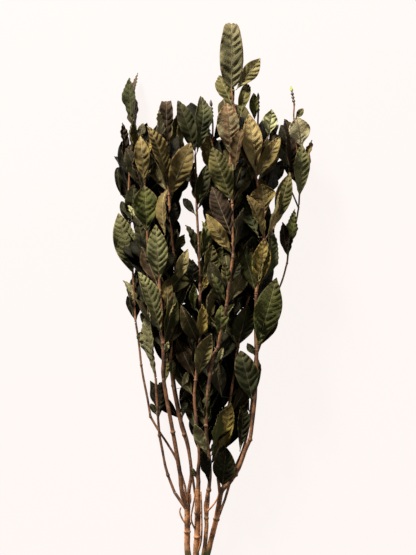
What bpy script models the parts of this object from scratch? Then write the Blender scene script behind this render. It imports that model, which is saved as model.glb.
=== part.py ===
"""A preserved leafy stem, cut at the foot and lying on its back.

The stem runs along +Y from its cut foot to its tips, +X is across it, and it rests on the plane Z = 0.
The tables give sizes and places in millimetres, measured from the middle of the cut foot.
A twig point is (across, along, height, radius), with RING as a fifth value at a swollen leaf node.
A leaf is (tip across, tip along, base across, base along, width seen from above, rise of the tip, tint).
"""

import math
import random

import bmesh
import bpy
import numpy as np
from mathutils import Vector
from mathutils.bvhtree import BVHTree

MM = 0.001
RING = True
PRESSED = None  # in place of a rise: the leaf hangs down and lies flat on the surface

FOOT_ACROSS = -18.0
JOINT_GAP = 0.3  # between two nodes at a fork
BLADE_THICKNESS = 0.9
NECK_HALF_WIDTH = 1.3  # of a blade where its stalk begins
END_MARGIN = 1.5  # from a leaf's root to the end of its twig
FOLD_RANGE = (8, 24)  # degrees that each half of a blade is raised
BOW_RANGE = (0.01, 0.07)  # height of a blade's arch over its length
WAVE_RANGE = (0.6, 1.5)
WAVES = 2.2  # along an edge
WIDEST_AT = 1.1  # over 1 puts the widest place of a blade past its middle
FULLNESS = 0.68  # the lower, the fuller the outline
ROOT_DEPTH = 0.5  # how far the root goes past the twig's middle, over the twig's radius
NECK_CLEARANCE = 2.5  # from the bark to the start of the blade
# Where the rows of a blade lie between its base and its tip, by the width that it stays under.
BLADE_ROWS = ((13, (0.38, 0.74)), (27, (0.25, 0.55, 0.82)), (60, (0.2, 0.42, 0.65, 0.85)))
SLIMMEST_BLADE = 0.32  # width over length of a leaf that is seen on edge
STEEPEST_ROLL = math.radians(72)
RING_SWELL = 1.35
MORE_SIDES_FROM = (1.65, 5.0)  # radii from which a stem has six sides and then eight, not four
RING_HALF_LENGTH = 3.5
RING_SHOWS_FROM = 1.65  # radius under which a twig's rings are too small to swell
PRESSED_DEPTH = -8.0  # where the tip of a pressed leaf would end, were there no surface
SHARP_FROM = math.radians(40)
FLAT_BAND = 0.3  # what lies lower than this is pressed flat
RISES = (0, 5, -5, 10, -10, 16, -16, 22, -22, 30, -30, 38)  # tried in turn, to clear the neighbours
SHEET_CLEARANCE = 2.4  # between the middles of two blades of different nodes
BARK_CLEARANCE = 1.8  # from the middle of a blade to another node's bark

LIMBS = [
    [(-18, 0, 7.3, 7.4), (-18, 13, 7.6, 7.3), (-18, 24, 8.6, 6.2), (-19, 32, 11, 4.0)],
    [(-19, 12, 8, 4.8), (-28, 30, 11, 4.2), (-31, 45, 13, 3.8), (-31, 67, 17, 3.7, RING),
     (-31, 90, 22, 3.7), (-31, 103, 25.5, 3.9)],
    [(-18, 14, 9.5, 4.8), (-20, 40, 17, 3.9), (-18.5, 61, 22, 3.8, RING), (-18, 91, 28, 3.7, RING),
     (-18, 112, 31.5, 3.4), (-17.5, 122, 33.5, 3.0)],
    [(-17, 14, 10, 3.8), (-10, 42, 22, 2.8), (-7, 72, 28.5, 2.6), (-7, 85, 31, 2.5, RING),
     (-7.5, 99, 34, 2.8), (-7, 106, 36, 2.7)],
    [(-16, 14, 8, 4.4), (-6, 38, 11, 3.7), (-1, 57, 15, 3.4), (2.5, 71, 17.5, 3.4),
     (5.5, 83, 20, 3.3, RING), (7.6, 96, 23, 3.2)],
]
SHOOTS = [
    [(-32, 76, 20, 1.2), (-37.5, 84, 22, 1.1), (-40.5, 92.5, 23, 1.0), (-39, 98, 23.5, 0.8)],
    [(-29, 74, 20, 1.3), (-26.5, 79, 23, 1.1)],
    [(-20, 68, 24, 1.1), (-26, 84, 32, 1.0), (-23, 104, 38, 1.0), (-20, 121, 42, 0.8)],
    [(-19, 38, 18, 1.3), (-13.5, 58, 29, 1.2), (-13, 92, 37, 1.1), (-14, 119, 41, 0.9)],
    [(-7, 93, 33, 1.3), (-1, 99, 38, 1.1), (5, 107, 41, 1.0), (9, 117, 43, 0.8)],
    [(-31, 96, 25, 1.0), (-27, 106, 33, 1.0), (-27, 116, 37, 0.8)],
]
# Where one node grows from another: the node that carries it, the twig point inside that and the fork's end.
FORKS = {
    "left_main": ("woody_stem", (-31.5, 98, 25, 3.2), (-36, 111, 29, 3.0)),
    "left_outer": ("woody_stem", (-32, 95, 24, 2.2), (-45, 114, 24, 1.9)),
    "left_inner": ("woody_stem", (-31, 98, 25, 2.6), (-29, 119, 30, 2.3)),
    "far_left": ("woody_stem", (-31, 92, 22, 2.0), (-33.5, 120, 16, 1.5)),
    "middle": ("woody_stem", (-17.8, 116, 32.3, 3.2), (-17.2, 128, 35, 2.8)),
    "middle_right": ("woody_stem", (-7.3, 102, 35, 2.7), (-6, 112, 37.5, 2.6)),
    "right_main": ("woody_stem", (7, 93, 22.4, 3.2), (8.6, 102, 24.4, 3.2)),
    "back_left": ("woody_stem", (-18, 88, 27, 2.2), (-21, 112, 15, 1.7)),
    "back_middle": ("woody_stem", (-7.5, 74, 28, 2.0), (-5, 100, 19, 1.7)),
    "back_right": ("woody_stem", (4, 76, 18.5, 2.2), (15, 104, 13, 1.7)),
    "inner_right": ("right_main", (10.3, 114, 27, 2.4), (8, 131, 28, 1.9)),
    "far_right": ("right_main", (56, 292, 61, 1.6), (63, 311, 57, 1.3)),
}
TWIGS = {
    "far_left": [
        [(-44, 156, 16, 1.5), (-55, 176, 17, 1.5), (-67.5, 195, 18, 1.5), (-77.5, 212, 19, 1.5, RING),
         (-81, 234, 20, 1.5), (-86, 259, 21, 1.5), (-89, 277, 22, 1.4, RING), (-92.5, 309, 23, 1.4),
         (-96, 331, 24, 1.4, RING), (-99, 387, 26, 1.3, RING), (-101, 421, 28, 1.3), (-103, 452, 30, 1.2),
         (-105, 484, 32, 1.2, RING), (-103, 527, 36, 1.2), (-100, 565, 38, 1.1), (-101, 578, 38, 1.0)],
    ],
    "left_outer": [
        [(-51, 127, 25, 1.8), (-55.5, 139, 26.5, 1.8, RING), (-59, 152, 28, 1.7), (-62.5, 171, 30.5, 1.7),
         (-66, 189, 33, 1.7, RING), (-67.5, 209, 36, 1.6), (-69, 234, 39, 1.6), (-70.5, 261, 43, 1.6, RING),
         (-77.5, 309, 48, 1.5), (-80, 359, 53, 1.5), (-80, 406, 57, 1.5, RING), (-81, 444, 60, 1.4),
         (-84, 496, 62, 1.3, RING), (-83, 534, 62, 1.2), (-88, 554, 62, 1.0)],
    ],
    "left_main": [
        [(-39, 127, 33, 2.9), (-40, 140, 36, 2.8), (-46, 177, 46, 2.7), (-49, 194, 50, 2.6, RING),
         (-55, 227, 57, 2.5), (-61, 265, 65, 2.4), (-60.5, 284, 68, 2.3), (-61, 305, 72, 2.2, RING),
         (-64, 321, 74, 2.0), (-62.5, 346, 77, 1.9), (-65, 371, 80, 1.8, RING), (-66, 409, 84, 1.5),
         (-61, 438, 84, 1.2)],
        [(-60.8, 303, 71.8, 1.5), (-58, 316, 73, 1.3), (-55, 342, 76, 1.1)],
    ],
    "left_inner": [
        [(-26, 140, 34, 2.2), (-27.5, 159, 37, 2.1), (-31, 177, 40, 2.0), (-35, 190, 42, 2.0, RING),
         (-39, 202, 43, 1.9), (-45, 230, 45, 1.9), (-49, 252, 46, 1.9, RING), (-52, 281, 48, 1.8),
         (-51, 302, 49, 1.8), (-49, 346, 52, 1.7, RING), (-46, 396, 55, 1.7), (-49, 427, 57, 1.6, RING),
         (-51, 452, 58, 1.5), (-54, 490, 60, 1.5, RING), (-55, 521, 60, 1.3), (-55, 547, 60, 1.1)],
        [(-55, 526, 60, 1.2), (-47, 538, 61, 1.0), (-41, 546, 62, 0.9)],
    ],
    "middle": [
        [(-17.5, 142, 38, 2.6), (-16, 165, 44, 2.2), (-19, 202, 50, 2.0), (-22, 234, 54, 1.9),
         (-20.5, 259, 57, 1.9, RING), (-16, 302, 60, 1.8, RING), (-15, 346, 62, 1.7), (-15, 376, 63, 1.7, RING),
         (-16, 406, 63, 1.7, RING), (-17, 434, 64, 1.6), (-19, 470, 66, 1.6, RING), (-20, 509, 67, 1.4),
         (-21, 540, 68, 1.3)],
    ],
    "middle_right": [
        [(-4, 121, 39, 2.5, RING), (-2.5, 140, 42, 2.4), (-3, 157, 46, 2.3, RING), (-6, 184, 51, 2.3),
         (-7.5, 202, 55, 2.2, RING), (-6, 234, 60, 2.2), (0, 284, 68, 2.1), (7.5, 300, 71, 2.0, RING),
         (11, 321, 75, 2.0), (18, 352, 80, 1.9, RING), (21, 377, 83, 1.9), (26, 412, 85, 1.8, RING),
         (26, 446, 87, 1.7), (25, 479, 88, 1.6, RING), (22.5, 534, 88, 1.5), (30, 588, 86, 1.3, RING),
         (26, 606, 85, 1.2), (24, 621, 84, 1.0)],
    ],
    "inner_right": [
        [(9, 150, 30, 1.9), (12.5, 184, 34, 1.8), (22.5, 234, 41, 1.7, RING), (32.5, 299, 50, 1.6, RING),
         (41, 345, 56, 1.5), (49, 371, 57, 1.4, RING), (51, 396, 57, 1.0)],
    ],
    "right_main": [
        [(12, 119, 28, 3.3), (21, 129, 32, 3.1), (29, 140, 36, 2.8, RING), (35, 152, 39, 2.7),
         (41, 169, 42, 2.6), (47.5, 184, 46, 2.5, RING), (50, 202, 49, 2.4), (54, 240, 55, 2.3),
         (56, 296, 62, 2.2, RING), (55, 334, 65, 2.0), (55, 367, 69, 2.0, RING), (62, 418, 72, 1.8),
         (65, 434, 73, 1.7, RING), (62.5, 465, 73, 1.6), (55, 511, 73, 1.5, RING), (56, 546, 73, 1.4),
         (57.5, 593, 71, 1.2, RING), (57.5, 609, 71, 0.9)],
        [(55, 532, 73, 1.2), (61, 548, 75, 1.1), (69, 560, 76, 0.9)],
        [(63, 458, 73, 1.2), (70, 477, 71, 1.1), (76, 490, 70, 0.9)],
        [(65, 433, 73, 1.2), (71, 441, 72, 1.1), (78, 450, 71, 0.9)],
    ],
    "far_right": [
        [(72.5, 346, 50, 1.2), (87, 381, 45, 1.2), (94, 405, 42, 1.2, RING), (97.5, 434, 40, 1.2),
         (105, 456, 39, 1.2), (109, 477, 38, 1.1, RING), (110, 521, 38, 1.1), (105, 559, 38, 1.0),
         (102.5, 587, 37, 1.0), (103, 604, 37, 1.0, RING), (100, 621, 37, 1.0)],
        [(108.5, 474, 38, 1.1), (100, 494, 39, 1.0), (92, 510, 39, 0.9)],
    ],
    "back_left": [
        [(-25, 140, 14, 1.7), (-30, 177, 13, 1.7), (-38, 206, 12, 1.6, RING), (-47, 252, 12, 1.6),
         (-51, 300, 13, 1.5, RING), (-53, 350, 15, 1.5, RING), (-53, 400, 17, 1.4, RING),
         (-57, 450, 20, 1.4, RING), (-60, 500, 24, 1.3, RING), (-56, 540, 30, 1.0)],
    ],
    "back_middle": [
        [(-4, 120, 17, 1.7), (-3, 157, 16, 1.7), (-7, 202, 15, 1.6), (-6, 234, 15, 1.6, RING),
         (0, 276, 15, 1.6), (7, 310, 17, 1.5, RING), (13, 350, 22, 1.5, RING), (14, 392, 30, 1.4, RING),
         (7, 430, 38, 1.3), (2, 470, 44, 1.3, RING), (0, 511, 50, 1.3, RING), (0.5, 545, 52, 1.2),
         (1, 577, 54, 1.1), (0, 590, 54, 1.0, RING), (-1, 602, 54, 0.8)],
    ],
    "back_right": [
        [(27, 142, 12, 1.7), (39, 170, 11, 1.7), (47, 202, 11, 1.6, RING), (51, 240, 12, 1.6),
         (55, 290, 13, 1.5, RING), (54, 335, 15, 1.5, RING), (48, 385, 18, 1.4, RING),
         (50, 440, 21, 1.4, RING), (54, 495, 25, 1.3, RING), (52, 540, 30, 1.0)],
    ],
}
LEAVES = {
    "far_left": [
        (-102, 637, -98, 577, 15, 10, "olive"), (-97, 645, -93, 562, 11, 0, "purple"),
        (-114, 581, -110, 532, 11, -5, "black"), (-106, 584, -99, 527, 10, 12, "khaki"),
        (-120, 542, -100, 486, 16, -10, "black"), (-118, 522, -114, 490, 4, 2, "pale"),
        (-104, 551, -107, 524, 10, -8, "dark"), (-98, 502, -101, 452, 20, 8, "dark"),
        (-114, 484, -103, 449, 11, -8, "dark"), (-101, 476, -97, 446, 8, 14, "pale"),
        (-117, 467, -96, 390, 31, 14, "mint"), (-107, 384, -101, 344, 8, 2, "pale"),
        (-106, 362, -96, 331, 12, -12, "black"), (-92, 396, -95, 346, 9, 6, "black"),
        (-90, 398, -95, 336, 18, PRESSED, "dark"),
    ],
    "left_outer": [
        (-82, 344, -71, 260, 15, 14, "mint"), (-86, 579, -90, 557, 10, 4, "khaki"),
        (-89, 561, -85, 499, 20, 12, "khaki"), (-77, 560, -82, 534, 10, -4, "yellow"),
        (-101, 534, -88, 496, 8, 6, "purple"), (-84, 500, -80, 441, 34, 16, "green"),
        (-64, 257, -65, 206, 20, -4, "black"), (-77, 229, -69, 211, 8, -2, "dark"),
        (-92, 455, -80, 406, 18, -8, "dark"), (-70, 448, -80, 402, 18, -12, "olive"),
        (-94, 316, -77, 306, 12, -8, "dark"), (-67, 345, -78, 318, 14, -10, "dark"),
    ],
    "left_main": [
        (-89, 394, -66, 309, 24, 12, "mint"), (-55, 387, -55, 344, 16, 6, "khaki"),
        (-47, 359, -59, 309, 12, 10, "olive"), (-70, 452, -66, 379, 27, 6, "mint"),
        (-62, 496, -58, 440, 15, -4, "tan"), (-55, 286, -55, 252, 9, 4, "olive"),
        (-54, 307, -58, 290, 7, 6, "pale"), (-75, 440, -66, 400, 14, -12, "dark"),
    ],
    "left_inner": [
        (-68, 595, -68, 547, 10, 16, "cream"), (-77, 575, -54, 499, 20, 14, "khaki"),
        (-57, 606, -55, 545, 18, 4, "brown"), (-46, 590, -52, 546, 10, 6, "olive"),
        (-44, 581, -40, 548, 9, -2, "khaki"), (-27, 553, -51, 487, 28, 20, "tan"),
        (-46, 480, -48, 442, 14, 2, "black"), (-34, 441, -44, 418, 12, 4, "dark"),
        (-30, 422, -45, 376, 15, 14, "cream"), (-27, 381, -45, 336, 11, 6, "grey"),
        (-49, 284, -46, 260, 8, 4, "olive"), (-30, 271, -38, 249, 7, 4, "pale"),
        (-22, 257, -39, 234, 9, -6, "dark"), (-31, 231, -41, 214, 8, -4, "dark"),
        (-66, 540, -55, 494, 18, -12, "olive"), (-62, 428, -49, 392, 16, -10, "dark"),
    ],
    "middle": [
        (-41, 607, -21, 544, 21, 8, "moss"), (-9, 612, -19, 542, 20, 4, "moss"),
        (-7, 526, -20, 472, 19, 10, "grey"), (-36, 486, -22, 462, 10, -6, "black"),
        (-27, 521, -22, 477, 9, -10, "purple"), (-30, 453, -18, 406, 10, 6, "dark"),
        (-7, 455, -15, 406, 11, 8, "green"), (1, 427, -5, 390, 19, 0, "olive"),
        (-24, 409, -24, 381, 16, 8, "dark"), (-22, 380, -22, 346, 11, 4, "green"),
        (-1, 392, -11, 365, 8, 8, "yellow"), (-4, 376, -6, 327, 11, 10, "khaki"),
        (-10, 352, -21, 302, 14, 14, "yellow"), (-5, 327, -12, 312, 8, 6, "yellow"),
        (0, 319, -19, 261, 21, 12, "olive"), (-27, 321, -24, 266, 9, 4, "grey"),
        (-25, 148, -19, 131, 6, 4, "olive"),
    ],
    "back_middle": [
        (-7, 600, -3, 577, 9, 4, "purple"), (-11, 589, -3, 562, 7, 6, "peach"),
        (-5, 569, 0, 511, 15, 10, "tan"), (2, 374, 7, 310, 24, PRESSED, "dark"),
    ],
    "middle_right": [
        (24, 701, 24, 622, 30, 6, "khaki"), (60, 659, 30, 620, 20, 2, "tan"),
        (8, 640, 30, 590, 22, -8, "olive"), (44, 630, 34, 584, 16, -6, "olive"),
        (19, 602, 25, 535, 30, 12, "edged"), (37, 574, 29, 521, 14, 6, "brown"),
        (1, 547, 25, 479, 28, 12, "olive"), (0, 500, 24, 434, 25, -4, "brown"),
        (32, 474, 28, 415, 8, 6, "grey"), (-7, 465, 24, 414, 19, 12, "tan"),
        (16, 406, 21, 371, 12, 6, "olive"), (34, 406, 24, 374, 12, -4, "dark"),
        (0, 391, 16, 355, 12, 8, "green"), (12, 352, 9, 309, 16, 6, "green"),
        (24, 355, 17, 318, 7, 2, "pale"), (-5, 231, -9, 202, 10, 4, "green"),
        (-1, 257, -5, 205, 7, 8, "green"), (-22, 205, -6, 159, 15, 10, "mint"),
        (7, 224, -1, 163, 10, 8, "green"), (14, 299, 5, 280, 7, 4, "pale"),
        (42, 532, 27, 482, 16, -18, "black"), (-14, 171, -6, 126, 12, 6, "black"),
    ],
    "inner_right": [
        (4, 282, 12, 238, 21, 12, "grey"), (23, 230, 9, 163, 22, 16, "yellow"),
        (44, 352, 30, 299, 28, 10, "dark"), (44, 428, 50, 373, 17, 0, "brown"),
        (33, 412, 46, 366, 16, -8, "dark"), (18, 355, 31, 300, 16, -10, "dark"),
        (66, 428, 51, 390, 16, -8, "dark"), (34, 284, 24, 238, 16, -8, "dark"),
    ],
    "right_main": [
        (46, 589, 57, 511, 27, 16, "khaki"), (84, 561, 58, 511, 18, 8, "khaki"),
        (74, 596, 70, 563, 20, 6, "pale"), (82, 577, 71, 556, 10, -2, "purple"),
        (52, 616, 53, 584, 12, 4, "green"), (45, 489, 65, 434, 14, 16, "tan"),
        (86, 496, 68, 438, 15, 8, "tan"), (60, 511, 68, 488, 11, 6, "yellow"),
        (62, 503, 67, 466, 34, 8, "tan"), (97, 517, 79, 452, 23, 8, "olive"),
        (35, 527, 55, 481, 17, -14, "dark"), (38, 488, 58, 437, 22, -10, "olive"),
        (66, 436, 52, 370, 24, 8, "yellow"), (77, 446, 57, 369, 17, 0, "green"),
        (80, 386, 56, 297, 34, 14, "green"), (36, 295, 50, 227, 30, 12, "olive"),
        (44, 305, 53, 286, 9, 0, "dark"), (39, 229, 35, 169, 19, -6, "dark"),
        (18, 172, 13, 119, 29, 8, "dark"), (72, 350, 56, 298, 20, -14, "dark"),
        (56, 286, 53, 238, 14, -8, "dark"),
    ],
    "far_right": [
        (88, 457, 94, 411, 15, 6, "purple"), (109, 472, 95, 411, 13, 8, "green"),
        (107, 587, 112, 550, 29, 10, "cream"), (113, 553, 109, 484, 21, 12, "moss"),
        (126, 559, 120, 515, 7, 2, "tan"), (96, 587, 96, 513, 19, -4, "brown"),
        (114, 598, 105, 584, 8, 4, "olive"),
    ],
    "back_left": [
        (-62, 414, -53, 352, 24, PRESSED, "dark"), (-50, 563, -59, 502, 22, PRESSED, "olive"),
    ],
    "back_right": [
        (40, 446, 48, 386, 24, PRESSED, "dark"), (44, 556, 54, 496, 22, PRESSED, "olive"),
        (66, 398, 54, 336, 22, PRESSED, "dark"),
    ],
}
# Leaves behind, which no view from above shows whole: pairs at each ring from this place along the twig.
PAIRS_FROM = {"back_left": 200, "back_middle": 230, "back_right": 200, "far_left": 270, "left_outer": 255,
              "left_main": 300, "left_inner": 340, "middle": 255, "middle_right": 345, "inner_right": 290,
              "right_main": 290, "far_right": 400}
FALLEN = 0.2  # share of them that the twig has lost
PAIR_SPREAD = (16, 32)  # degrees from the twig, in plan
PAIR_LENGTH = (52, 66)
PAIR_WIDTH = (17, 23)
PAIR_RISE = (-22, -8)
PAIR_TINTS = ("dark", "olive", "khaki", "brown", "green")
# Openings in the foliage that stay clear of those: low and high corner in plan.
CLEAR_VIEWS = [(24, 608, 35, 621), (-21, 520, -9, 546), (-37, 408, -20, 486), (82, 384, 140, 484),
               (39, 286, 54, 319), (-140, 545, -112, 720), (-140, 200, -104, 400), (-200, 610, 200, 720),
               (-140, 484, -119, 545), (128, 484, 140, 720), (-140, 190, -82, 330), (58, 225, 80, 290)]
TINTS = {
    "olive": (0.20, 0.19, 0.07), "khaki": (0.33, 0.28, 0.14), "dark": (0.05, 0.07, 0.03),
    "black": (0.02, 0.025, 0.015), "brown": (0.16, 0.09, 0.04), "purple": (0.12, 0.06, 0.06),
}
NODE_TINTS = {
    "far_left": "dark", "left_outer": "olive", "left_main": "olive", "left_inner": "khaki",
    "middle": "olive", "back_middle": "dark", "middle_right": "khaki", "inner_right": "dark",
    "right_main": "khaki", "far_right": "olive", "back_left": "dark", "back_right": "dark",
}


def clear_scene():
    for obj in list(bpy.data.objects):
        bpy.data.objects.remove(obj, do_unlink=True)


def make_material(name, colour, roughness):
    material = bpy.data.materials.new(name)
    material.use_nodes = True
    shader = material.node_tree.nodes["Principled BSDF"]
    shader.inputs["Base Color"].default_value = (*colour, 1)
    shader.inputs["Roughness"].default_value = roughness
    shader.inputs["Metallic"].default_value = 0
    return material


def new_object(name, mesh, collection):
    obj = bpy.data.objects.new(name, mesh)
    collection.objects.link(obj)
    return obj


def ringed(points):
    """Adds a point on each side of a ring and swells the ring itself."""
    full = []
    for index, point in enumerate(points):
        if len(point) == 4 or point[3] < RING_SHOWS_FROM:
            full.append(point[:4])
            continue
        here = Vector(point[:3])
        ahead = (Vector(points[index + 1][:3]) - here).normalized() * RING_HALF_LENGTH
        behind = (Vector(points[index - 1][:3]) - here).normalized() * RING_HALF_LENGTH
        if index:
            full.append((*(here + behind), point[3]))
        full.append((*here, point[3] * RING_SWELL))
        full.append((*(here + ahead), point[3]))
    return full


def tube(name, points, collection):
    """A round stem through the points, closed at both ends, as a mesh object."""
    curve = bpy.data.curves.new(name, "CURVE")
    curve.dimensions = "3D"
    curve.bevel_depth = MM
    thickest = max(point[3] for point in points)
    curve.bevel_resolution = sum(thickest > least for least in MORE_SIDES_FROM)
    curve.use_fill_caps = True
    full = ringed(points)
    spline = curve.splines.new("POLY")
    spline.points.add(len(full) - 1)
    for spot, (across, along, height, radius) in zip(spline.points, full):
        spot.co = (across * MM, along * MM, height * MM, 1)
        spot.radius = radius
    guide = new_object(name + "_guide", curve, collection)
    bpy.context.view_layer.update()
    mesh = bpy.data.meshes.new_from_object(guide.evaluated_get(bpy.context.evaluated_depsgraph_get()))
    solid = new_object(name, mesh, collection)
    solid.matrix_world = guide.matrix_world
    bpy.data.objects.remove(guide, do_unlink=True)
    body = bmesh.new()
    body.from_mesh(mesh)
    bmesh.ops.remove_doubles(body, verts=body.verts, dist=0.00001)
    bmesh.ops.recalc_face_normals(body, faces=body.faces)
    body.to_mesh(mesh)
    body.free()
    return solid


def from_fork(name):
    """The first two points of a twig, a hair's breadth past the end of its fork and in line with it."""
    _, inside, end = FORKS[name]
    line = (Vector(end[:3]) - Vector(inside[:3])).normalized()
    start = Vector(end[:3]) + line * JOINT_GAP
    return [(*start, end[3]), (*(start + line * 3), end[3])]


def twig_paths(name):
    main, *sides = TWIGS[name]
    return [from_fork(name) + main, *sides]


def nearest_on_twig(name, across, along):
    """The point on the node's twigs that is nearest in plan, and the twig's radius there."""
    best = None
    for path in twig_paths(name):
        for start, end in zip(path, path[1:]):
            run = (end[0] - start[0], end[1] - start[1])
            length = math.hypot(*run)
            share = ((across - start[0]) * run[0] + (along - start[1]) * run[1]) / length ** 2
            share = min(max(share, 0), 1 - END_MARGIN / length)
            spot = [a + (b - a) * share for a, b in zip(start[:4], end[:4])]
            far = math.hypot(spot[0] - across, spot[1] - along)
            if best is None or far < best[0]:
                best = (far, spot)
    return Vector(best[1][:3]), best[1][3]


def outline(share):
    """Half the blade's width over its greatest, from 0 at the base to 0 at the tip."""
    return math.sin(math.pi * share ** WIDEST_AT) ** FULLNESS


def blade_sheet(node, leaf, rise, name):
    """Vertices and triangles of the blade's middle surface, from inside its twig to its tip."""
    tip_x, tip_y, base_x, base_y, seen, _, _ = leaf
    draw = random.Random(name)
    root, radius = nearest_on_twig(node, base_x, base_y)
    reach = Vector((tip_x - root.x, tip_y - root.y))
    if math.hypot(base_x - root.x, base_y - root.y) < radius + NECK_CLEARANCE:
        base_x, base_y = Vector((root.x, root.y)) + reach.normalized() * (radius + NECK_CLEARANCE)
    tip = Vector((tip_x, tip_y, PRESSED_DEPTH if rise is PRESSED else root.z + rise))
    part = math.hypot(base_x - root.x, base_y - root.y) / reach.length
    base = Vector((base_x, base_y, root.z + (tip.z - root.z) * part))
    line = tip - base
    length = line.length
    line.normalize()
    width = max(seen, SLIMMEST_BLADE * length)
    roll = min(math.acos(seen / width), STEEPEST_ROLL) * draw.choice((-1, 1))
    flat_side = line.cross(Vector((0, 0, 1))).normalized()
    flat_up = flat_side.cross(line)
    side = flat_side * math.cos(roll) + flat_up * math.sin(roll)
    up = side.cross(line)
    fold = math.radians(draw.uniform(*FOLD_RANGE))
    bow = draw.uniform(*BOW_RANGE) * length
    wave = draw.uniform(*WAVE_RANGE)
    phase = draw.uniform(0, 2 * math.pi)
    spots = [root - line * (radius * ROOT_DEPTH), base - side * NECK_HALF_WIDTH, base + side * NECK_HALF_WIDTH]
    shares = next(rows for widest, rows in BLADE_ROWS if width < widest)
    for share in shares:
        half = 0.5 * width * outline(share)
        middle = base + line * (length * share) + up * (bow * 4 * share * (1 - share))
        for edge in (-1, 0, 1):
            ripple = wave * math.sin(math.tau * WAVES * share + phase + edge) * math.sin(math.pi * share)
            lift = abs(edge) * (half * math.sin(fold) * outline(share) + ripple)
            spots.append(middle + side * (edge * half * math.cos(fold * outline(share))) + up * lift)
    spots.append(tip)
    lowest = BLADE_THICKNESS / 2
    spots = [Vector((s.x, s.y, max(s.z, lowest))) for s in spots]
    faces = [(0, 2, 1), (1, 4, 3), (1, 2, 4), (2, 5, 4)]
    for row in range(len(shares) - 1):
        first = 3 + 3 * row
        for column in (first, first + 1):
            faces += [(column, column + 1, column + 4), (column, column + 4, column + 3)]
    last = len(spots) - 1
    faces += [(last - 3, last - 2, last), (last - 2, last - 1, last)]
    return spots, faces


def check_points(spots, faces):
    """Points spread over a sheet: its corners, the middles of its sides and of its triangles."""
    points = list(spots)
    for a, b, c in faces:
        points += [(spots[a] + spots[b]) / 2, (spots[b] + spots[c]) / 2, (spots[a] + spots[c]) / 2]
        points.append((spots[a] + spots[b] + spots[c]) / 3)
    return points


class Neighbour:
    """A twig or a placed blade that later blades have to clear."""

    def __init__(self, node, spots, faces, clearance):
        self.node = node
        self.clearance = clearance
        self.tree = BVHTree.FromPolygons(spots, faces)
        cloud = np.array(spots)
        self.low = cloud.min(axis=0) - clearance
        self.high = cloud.max(axis=0) + clearance

    def crossed_by(self, tree, low, high, points):
        if np.any(low > self.high) or np.any(high < self.low):
            return False
        if self.tree.overlap(tree):
            return True
        return any(self.tree.find_nearest(point, self.clearance)[0] is not None for point in points)


def clears(node, spots, faces, neighbours):
    """Whether a sheet keeps clear of the other nodes, and how many blades of its own it meets."""
    tree = BVHTree.FromPolygons(spots, faces)
    cloud = np.array(spots)
    low, high = cloud.min(axis=0), cloud.max(axis=0)
    points = check_points(spots, faces)
    own = 0
    for other in neighbours:
        if other.node == node and other.clearance == BARK_CLEARANCE:
            continue
        if other.crossed_by(tree, low, high, points):
            if other.node != node:
                return False, 0
            own += 1
    return True, own


def place_blade(node, leaf, name, neighbours):
    """Bends a blade clear of its neighbours by the rise of its tip. None if no rise does."""
    wanted = leaf[5]
    best = None
    for order, change in enumerate(RISES if wanted is not PRESSED else (0,)):
        rise = PRESSED if wanted is PRESSED else wanted + change
        spots, faces = blade_sheet(node, leaf, rise, name)
        free, own = clears(node, spots, faces, neighbours)
        if free and (best is None or (own, order) < best[0]):
            best = ((own, order), spots, faces)
            if own == 0:
                break
    if best is None:
        return None
    neighbours.append(Neighbour(node, best[1], best[2], SHEET_CLEARANCE))
    return best[1], best[2]


def pair_leaves(node):
    """Opposite pairs at the rings of a twig, turned to its underside."""
    path = TWIGS[node][0]
    draw = random.Random(node + " pairs")
    leaves = []
    for index, point in enumerate(path[:-1]):
        if len(point) == 4 or point[1] < PAIRS_FROM[node]:
            continue
        ahead = path[index + 1]
        heading = math.atan2(ahead[0] - point[0], ahead[1] - point[1])
        for hand in (-1, 1):
            if draw.random() < FALLEN:
                continue
            turn = heading + hand * math.radians(draw.uniform(*PAIR_SPREAD))
            length = draw.uniform(*PAIR_LENGTH)
            tip = (point[0] + length * math.sin(turn), point[1] + length * math.cos(turn))
            leaves.append((*tip, point[0], point[1], draw.uniform(*PAIR_WIDTH),
                           draw.uniform(*PAIR_RISE), draw.choice(PAIR_TINTS)))
    return leaves


def in_clear_view(spots):
    return any(low_x < s.x < high_x and low_y < s.y < high_y
               for low_x, low_y, high_x, high_y in CLEAR_VIEWS for s in spots)


def place_all(twigs):
    """All blades by node, the topmost first and the hidden pairs last."""
    neighbours = []
    for node, solids in twigs.items():
        for solid in solids:
            spots = [v.co / MM for v in solid.data.vertices]
            faces = [tuple(p.vertices) for p in solid.data.polygons]
            neighbours.append(Neighbour(node, spots, faces, BARK_CLEARANCE))
    queue = []
    for node, leaves in LEAVES.items():
        for index, leaf in enumerate(leaves):
            root, _ = nearest_on_twig(node, leaf[2], leaf[3])
            top = 0 if leaf[5] is PRESSED else root.z + max(leaf[5], 0)
            queue.append((-top, node, f"{node}_leaf_{index:02d}", leaf))
    queue.sort(key=lambda item: item[:3])
    for node in LEAVES:
        for index, leaf in enumerate(pair_leaves(node)):
            queue.append((1, node, f"{node}_pair_{index:02d}", leaf))
    blades = {node: [] for node in LEAVES}
    for order, node, name, leaf in queue:
        if order == 1 and in_clear_view(blade_sheet(node, leaf, leaf[5], name)[0]):
            continue
        sheet = place_blade(node, leaf, name, neighbours)
        if sheet is None:
            print("no room for", name)
        else:
            blades[node].append((name, *sheet))
    return blades


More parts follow.
